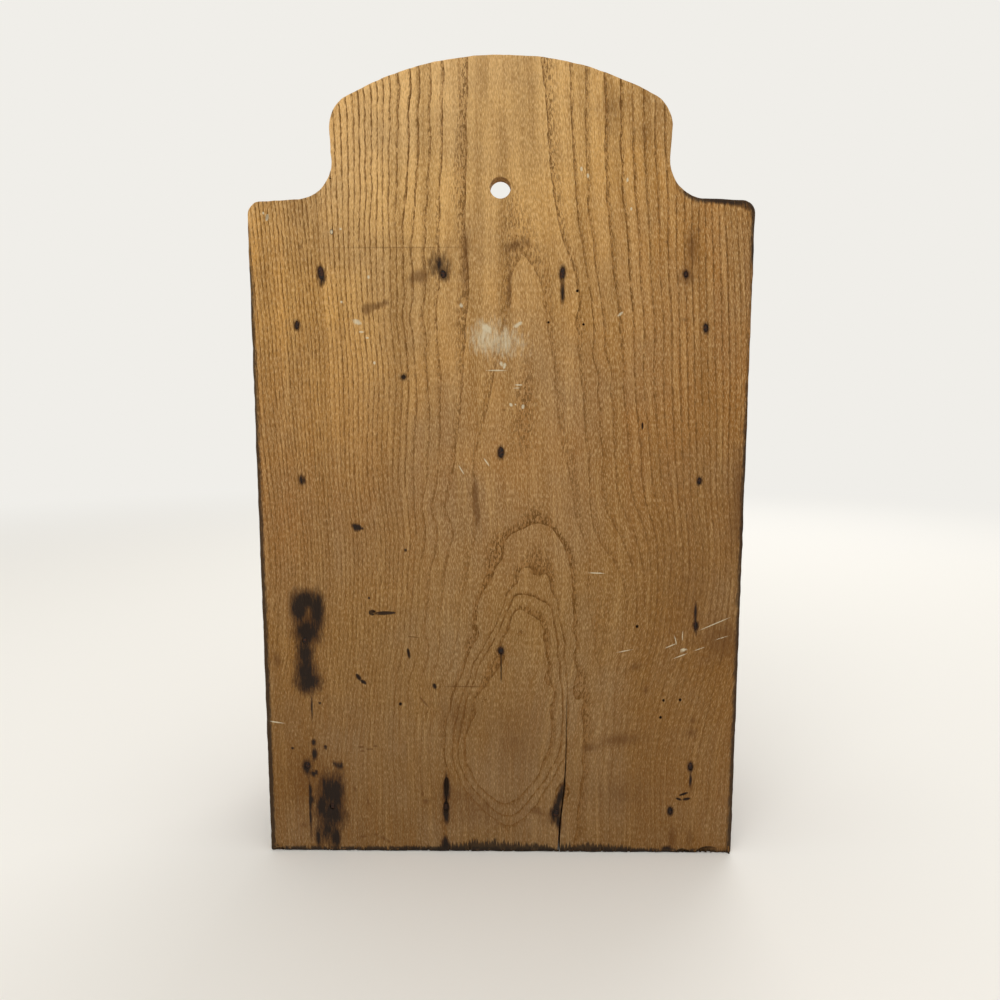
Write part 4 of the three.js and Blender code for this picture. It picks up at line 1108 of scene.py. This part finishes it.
def boreHole(piece):
    across, up, radius = backBoard["hole"]
    bpy.ops.mesh.primitive_cylinder_add(vertices=56, radius=radius, depth=30 * mm,
                                        location=(across, rearY - 5 * mm, up), rotation=(quarter, 0, 0))
    cutAway(piece, [bpy.context.object])
    middle = Vector((across, rearY, up))
    around = backBoard["aroundHole"]
    ease(piece, backBoard["holeEdge"], 2, wanted=lambda place: (place - middle).length < around)
    ease(piece, backBoard["rim"], 3, wanted=lambda place: (place - middle).length > around)


def wearAndShadeRim(piece, finder):
    # the rounded edges' dark band of grime and painted shade, a hollow here and there in the faces, and
    # knocks along the edges
    near = nearRim(finder, piece)
    heights, left, right = zip(*backBoard["rimDirtAndShade"])
    setAttribute(piece, "rim", [
        weight * np.interp(vertex.co.z / mm, heights, left if vertex.co.x > 0 else right)
        for weight, vertex in zip(near, piece.data.vertices)])
    group = piece.vertex_groups.new(name="knocked")
    for index, weight in enumerate(near):
        if weight > 0:
            group.add([index], weight ** 2, "REPLACE")
    unsettle(piece, unevenness, backBoard["warp"])
    unsettle(piece, dents, backBoard["rimWander"], 0.55, "knocked")
    piece.vertex_groups.clear()


def buildBackBoard():
    piece = mergedCopy("back_board", "rear_board")
    boreHole(piece)
    gridBoard(piece)
    finder = rimFinder(piece)
    for face in piece.data.polygons:
        face.material_index = 0
    wearAndShadeRim(piece, finder)
    print("back board: worn grid", len(piece.data.polygons), "faces")
    cutAway(piece, boardCutters())
    mesh = piece.data
    inside = []  # painted shade: 1 deep in a hollow, 0 on the faces and the rim
    first, last = backBoard["insides"]
    for vertex in mesh.vertices:
        deep = rearY - vertex.co.y
        onFace = not first < deep < last or finder.find(vertex.co)[2] < backBoard["rimWidth"]
        inside.append(0.0 if onFace else min(1.0, deep / backBoard["darkest"]))
    setAttribute(piece, "hollow", inside)
    across, dirt = zip(*backBoard["footDirt"])
    setAttribute(piece, "grimy", [np.interp(-vertex.co.x / mm, across, dirt) for vertex in mesh.vertices])
    paintFigure(piece)
    aside, above, softness = backBoard["nailHalo"]
    halos = [(right, up, wide + aside, tall + above, softness, lean)
             for right, up, wide, tall, lean in rearNails]
    paintMarks(piece, "iron", ironStains + halos)
    paintMarks(piece, "smear", brownSmears)
    paintMarks(piece, "pale", paleMarks)
    setAttribute(piece, "plank", [0.9] * len(mesh.vertices))
    setAttribute(piece, "wear", nearRim(finder, piece))
    smooth(piece, 35)
    dress(piece, "back_board", "case", weatheredOak)
    mesh.materials.append(oakUpright)  # varnished on its front and its edges
    for face in mesh.polygons:
        outside = not any(inside[index] for index in face.vertices)
        if outside and face.normal.y < 0.4 and face.center.y < rearY - backBoard["varnishFrom"]:
            face.material_index = 1
    print("back board:", len(mesh.polygons), "faces after the cuts")


buildBackBoard()


caseBoards = {
    # node: rounding in mm, material
    "bottom_board": (0.5, oakAcross),
    "top_board": (0.5, oakAcross),
    "left_side": (0.7, oakUpright),
    "right_side": (0.7, oakUpright),
    "centre_partition": (0.5, oakUpright),
    "shelf_1": (0.4, oakAcross),
    "shelf_2": (0.4, oakAcross),
    "shelf_3": (0.4, oakAcross),
}
edgeStrip = 2.2 * mm  # how far the rubbed edges reach
stripsFrom = 5.5 * mm  # boards no thicker than this have none
facePace = 9 * mm  # from one cut across a face to the next
handWork = 0.22 * mm  # how far the plane left the faces uneven


def workedCopy(node, name, rounding):
    # a merged copy with rounded edges, edge strips and faces fine enough to be uneven
    piece = mergedCopy(node, name)
    corners = [[piece.data.vertices[index].co[:] for index in key] for key in outerEdges(piece)]
    ease(piece, rounding * mm, 2)
    low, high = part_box(node)
    for axis in range(3):
        span = high[axis] - low[axis]
        places = steps(low[axis], high[axis], round(span / facePace))
        if span > stripsFrom:
            places += [low[axis] + edgeStrip, high[axis] - edgeStrip]
        slices(piece, axis, places)
    markWear(piece, corners, rounding * mm)
    return piece


def finishBoard(piece, plank):
    # plank sets each board's own grain
    setAttribute(piece, "plank", [plank] * len(piece.data.vertices))
    for face in piece.data.polygons:
        face.material_index = 0
    unsettle(piece, unevenness, handWork)
    smooth(piece, 30)


for number, (node, (rounding, material)) in enumerate(caseBoards.items()):
    board = workedCopy(node, "old_" + node, rounding)
    finishBoard(board, 0.37 * number + 0.2)
    dress(board, node, "case", material)
print("case boards")


drawers = {
    "pitch": 75.6,  # mm from one row to the next
    "columns": 110.8,  # mm from one column to the other
    "parts": {  # rounding in mm, material
        "front": (0.5, oakFront),
        "left_side": (0.4, poplarAlong),
        "right_side": (0.4, poplarAlong),
        "back": (0.4, poplarAcross),
        "bottom": (0.3, poplarAcross),
    },
    "handled": (1.3, 26 * mm),  # how grimy the front is at the knob, and how far from it
}
knobShape = {
    "sides": 40,
    "face": -46.75 * mm,
    # radius and distance in front of the drawer's face, in mm, from the tenon to the crown
    "tenon": [(2.9, -9.9), (3.2, -9.6), (3.2, 0.1)],
    "collar": [(5.5, 0.1), (5.9, 0.3), (6.05, 0.9), (5.95, 1.5), (5.6, 1.9), (5.1, 2.05), (5.05, 2.3)],
    "neck": (4.1, 5.6),
    "head": (9.6, 14.5, 6.5),  # radius, middle and half length
    "under": 0.9,  # how far round the head meets the neck, in radians behind its widest part
    "crown": (0.5, 0.2),  # radius of the last step and how far it lies below the crown
    "steps": (5, 18, 18.6),  # along each half of the neck, round the head, and on to its middle
    "groove": (12, 0.28),  # at which step round the head, and how deep in mm
}


def knobOutline():
    radius, middle, half = knobShape["head"]
    neck, neckFar = knobShape["neck"]
    under = knobShape["under"]
    outline = knobShape["tenon"] + knobShape["collar"]
    startX, startY = outline[-1]
    underX, underY = radius * math.cos(under), middle - half * math.sin(under)
    neckSteps, headSteps, toMiddle = knobShape["steps"]
    grooveStep, groove = knobShape["groove"]
    parts = [i / neckSteps for i in range(1, neckSteps + 1)]
    outline += [(neck + (startX - neck) * (1 - t) ** 2, startY + (neckFar - startY) * t) for t in parts]
    outline += [(neck + (underX - neck) * t * t, underY + (neckFar - underY) * (1 - t) ** 2) for t in parts]
    for i in range(1, headSteps + 1):
        angle = (quarter + under) * i / toMiddle - under
        cut = groove if i == grooveStep else 0
        outline.append(((radius - cut) * math.cos(angle), middle + (half - cut) * math.sin(angle)))
    last, below = knobShape["crown"]
    outline.append((last, middle + half - below))
    return outline


def turnKnob(name, across, up):
    outline = knobOutline()
    radius, out = outline[0]
    bpy.ops.mesh.primitive_circle_add(vertices=knobShape["sides"], radius=radius * mm, fill_type="NGON",
                                      location=(across, knobShape["face"] - out * mm, up),
                                      rotation=(quarter, 0, 0))
    knob = bpy.context.object
    knob.name = name
    settle(knob)
    wholeMesh()
    extrudeAlong([((0, (now[1] - then[1]) * mm, 0), (then[0] / now[0], 1, then[0] / now[0]))
                  for now, then in zip(outline, outline[1:])])
    bpy.ops.mesh.merge(type="CENTER")
    bpy.ops.mesh.select_all(action="SELECT")
    bpy.ops.mesh.normals_make_consistent(inside=False)
    toObjectMode()
    smooth(knob, 50)
    return knob


def buildDrawers():
    models = {part: workedCopy(f"drawer_1_{part}", f"drawer_one_{part}", rounding)
              for part, (rounding, material) in drawers["parts"].items()}
    low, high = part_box("drawer_1_front")
    middle = (low + high) / 2
    models["knob"] = turnKnob("drawer_one_knob", middle.x, middle.z)
    fromKnob = np.hypot(*(pointsOf(models["front"]) - middle)[:, ::2].T)
    most, reach = drawers["handled"]
    setAttribute(models["front"], "handled", most * np.clip(1 - fromKnob / reach, 0, 1))
    for number in range(1, 9):
        row, column = divmod(number - 1, 2)
        move = (column * drawers["columns"] * mm, 0, -row * drawers["pitch"] * mm)
        for order, (part, model) in enumerate(models.items()):
            piece = placedCopy(model, f"old_drawer_{number}_{part}", move)
            if part != "knob":
                finishBoard(piece, 0.53 * number + 0.29 * order)
            rounding, material = drawers["parts"].get(part, (0, turnedMaple))
            dress(piece, f"drawer_{number}_{part}", f"drawer_{number}", material)
    for model in models.values():
        discard(model)


buildDrawers()
print("eight drawers with turned knobs")


nails = {
    "cut": (1.5, 2.3, 24),  # half width and half height of the head, and length, in mm
    "brad": (0.75, 1.1, 9),
    "sunk": 1.0,  # mm from the rear face to the middle of a head
    "headDepth": 0.9,
    "crown": (0.45, 0.35),  # inset against the half width, and mm that it stands out
    "neck": 0.4,  # inset against the half width
    # each step of the shank: share of the length, and size against the one before
    "shank": ((0.55, (0.85, 1, 0.6)), (0.45, (0.6, 1, 0.35))),
    "edge": 0.25 * mm,
    "roughness": 0.35 * mm,
    # down through the top board and up through the bottom board
    "boardRows": ((-111.5, 0, 111.5), (-34, 6, 44)),
    "boardHeights": (340.3, 20.3),
    # through the sides into the shelves
    "sideRows": ((104.7, 180.3, 255.9), (-30, 36)),
    "sideFace": 115.65,
    "caseSize": (0.8, 1, 0.75),  # against the rear nails' size
    # along a drawer and up its side
    "drawerPlaces": ((-39.7, 16), (-39.7, 52), (52.6, 16), (52.6, 50)),
    "drawerSide": 50.05,
    "drawerFloor": 259.4,
}


def forgeNail(name, halfWide, halfTall, length):
    # a cut nail lying along Y: narrow hammered head at +Y, tapered shank behind it, in mm
    size = (2 * halfWide * mm, nails["headDepth"] * mm, 2 * halfTall * mm)
    bpy.ops.mesh.primitive_cube_add(size=1, scale=size)
    nail = bpy.context.object
    nail.name = name
    settle(nail)
    inset, out = nails["crown"]
    choose(nail, "FACE", lambda face: face.normal.y > 0.9)
    bpy.ops.mesh.inset(thickness=halfWide * inset * mm, depth=out * mm)
    choose(nail, "FACE", lambda face: face.normal.y < -0.9)
    bpy.ops.mesh.inset(thickness=halfWide * nails["neck"] * mm)
    extrudeAlong([((0, -length * part * mm, 0), size) for part, size in nails["shank"]])
    toObjectMode()
    applyModifier(nail, "BEVEL", width=nails["edge"], segments=2, limit_method="ANGLE",
                  angle_limit=math.radians(25))
    unsettle(nail, hammering, nails["roughness"])
    smooth(nail, 40)
    return nail


def caseNails():
    # the place in mm and the turn of each nail
    places = []
    above, below = nails["boardHeights"]
    columns, rows = nails["boardRows"]
    for x in columns:
        for y in rows:
            places += [((x, y, above), (quarter, 0, 0)), ((x, y, below), (-quarter, 0, 0))]
    side = nails["sideFace"]
    heights, rows = nails["sideRows"]
    for z in heights:
        for y in rows:
            places += [((side, y, z), (0, 0, -quarter)), ((-side, y, z), (0, 0, quarter))]
    return places


def buildNails():
    cut = forgeNail("cut_nail_model", *nails["cut"])
    halfWide, halfTall, length = nails["cut"]
    for number, (right, up, wide, tall, lean) in enumerate(rearNails, 1):
        nail = placedCopy(cut, f"rear_nail_{number}", (-right * mm, rearY - nails["sunk"] * mm, up * mm),
                          (0, math.radians(lean), 0), (wide / halfWide, 1, tall / halfTall))
        dress(nail, None, "case", nailIron)
    brad = forgeNail("brad_model", *nails["brad"])
    for number, (place, turn) in enumerate(caseNails(), 1):
        nail = placedCopy(cut, f"case_nail_{number}", [part * mm for part in place], turn, nails["caseSize"])
        dress(nail, None, "case", nailIron)
    for number in range(1, 9):
        row, column = divmod(number - 1, 2)
        middle = (column - 0.5) * drawers["columns"]
        base = nails["drawerFloor"] - drawers["pitch"] * row
        places = [(side, y, z) for side in (-1, 1) for y, z in nails["drawerPlaces"]]
        for count, (side, y, z) in enumerate(places, 1):
            nail = placedCopy(brad, f"drawer_{number}_brad_{count}",
                              ((middle + side * nails["drawerSide"]) * mm, y * mm, (base + z) * mm),
                              (0, 0, -side * quarter))
            dress(nail, None, f"drawer_{number}", nailIron)
    discard(cut)
    discard(brad)


buildNails()
print("nails and brads")
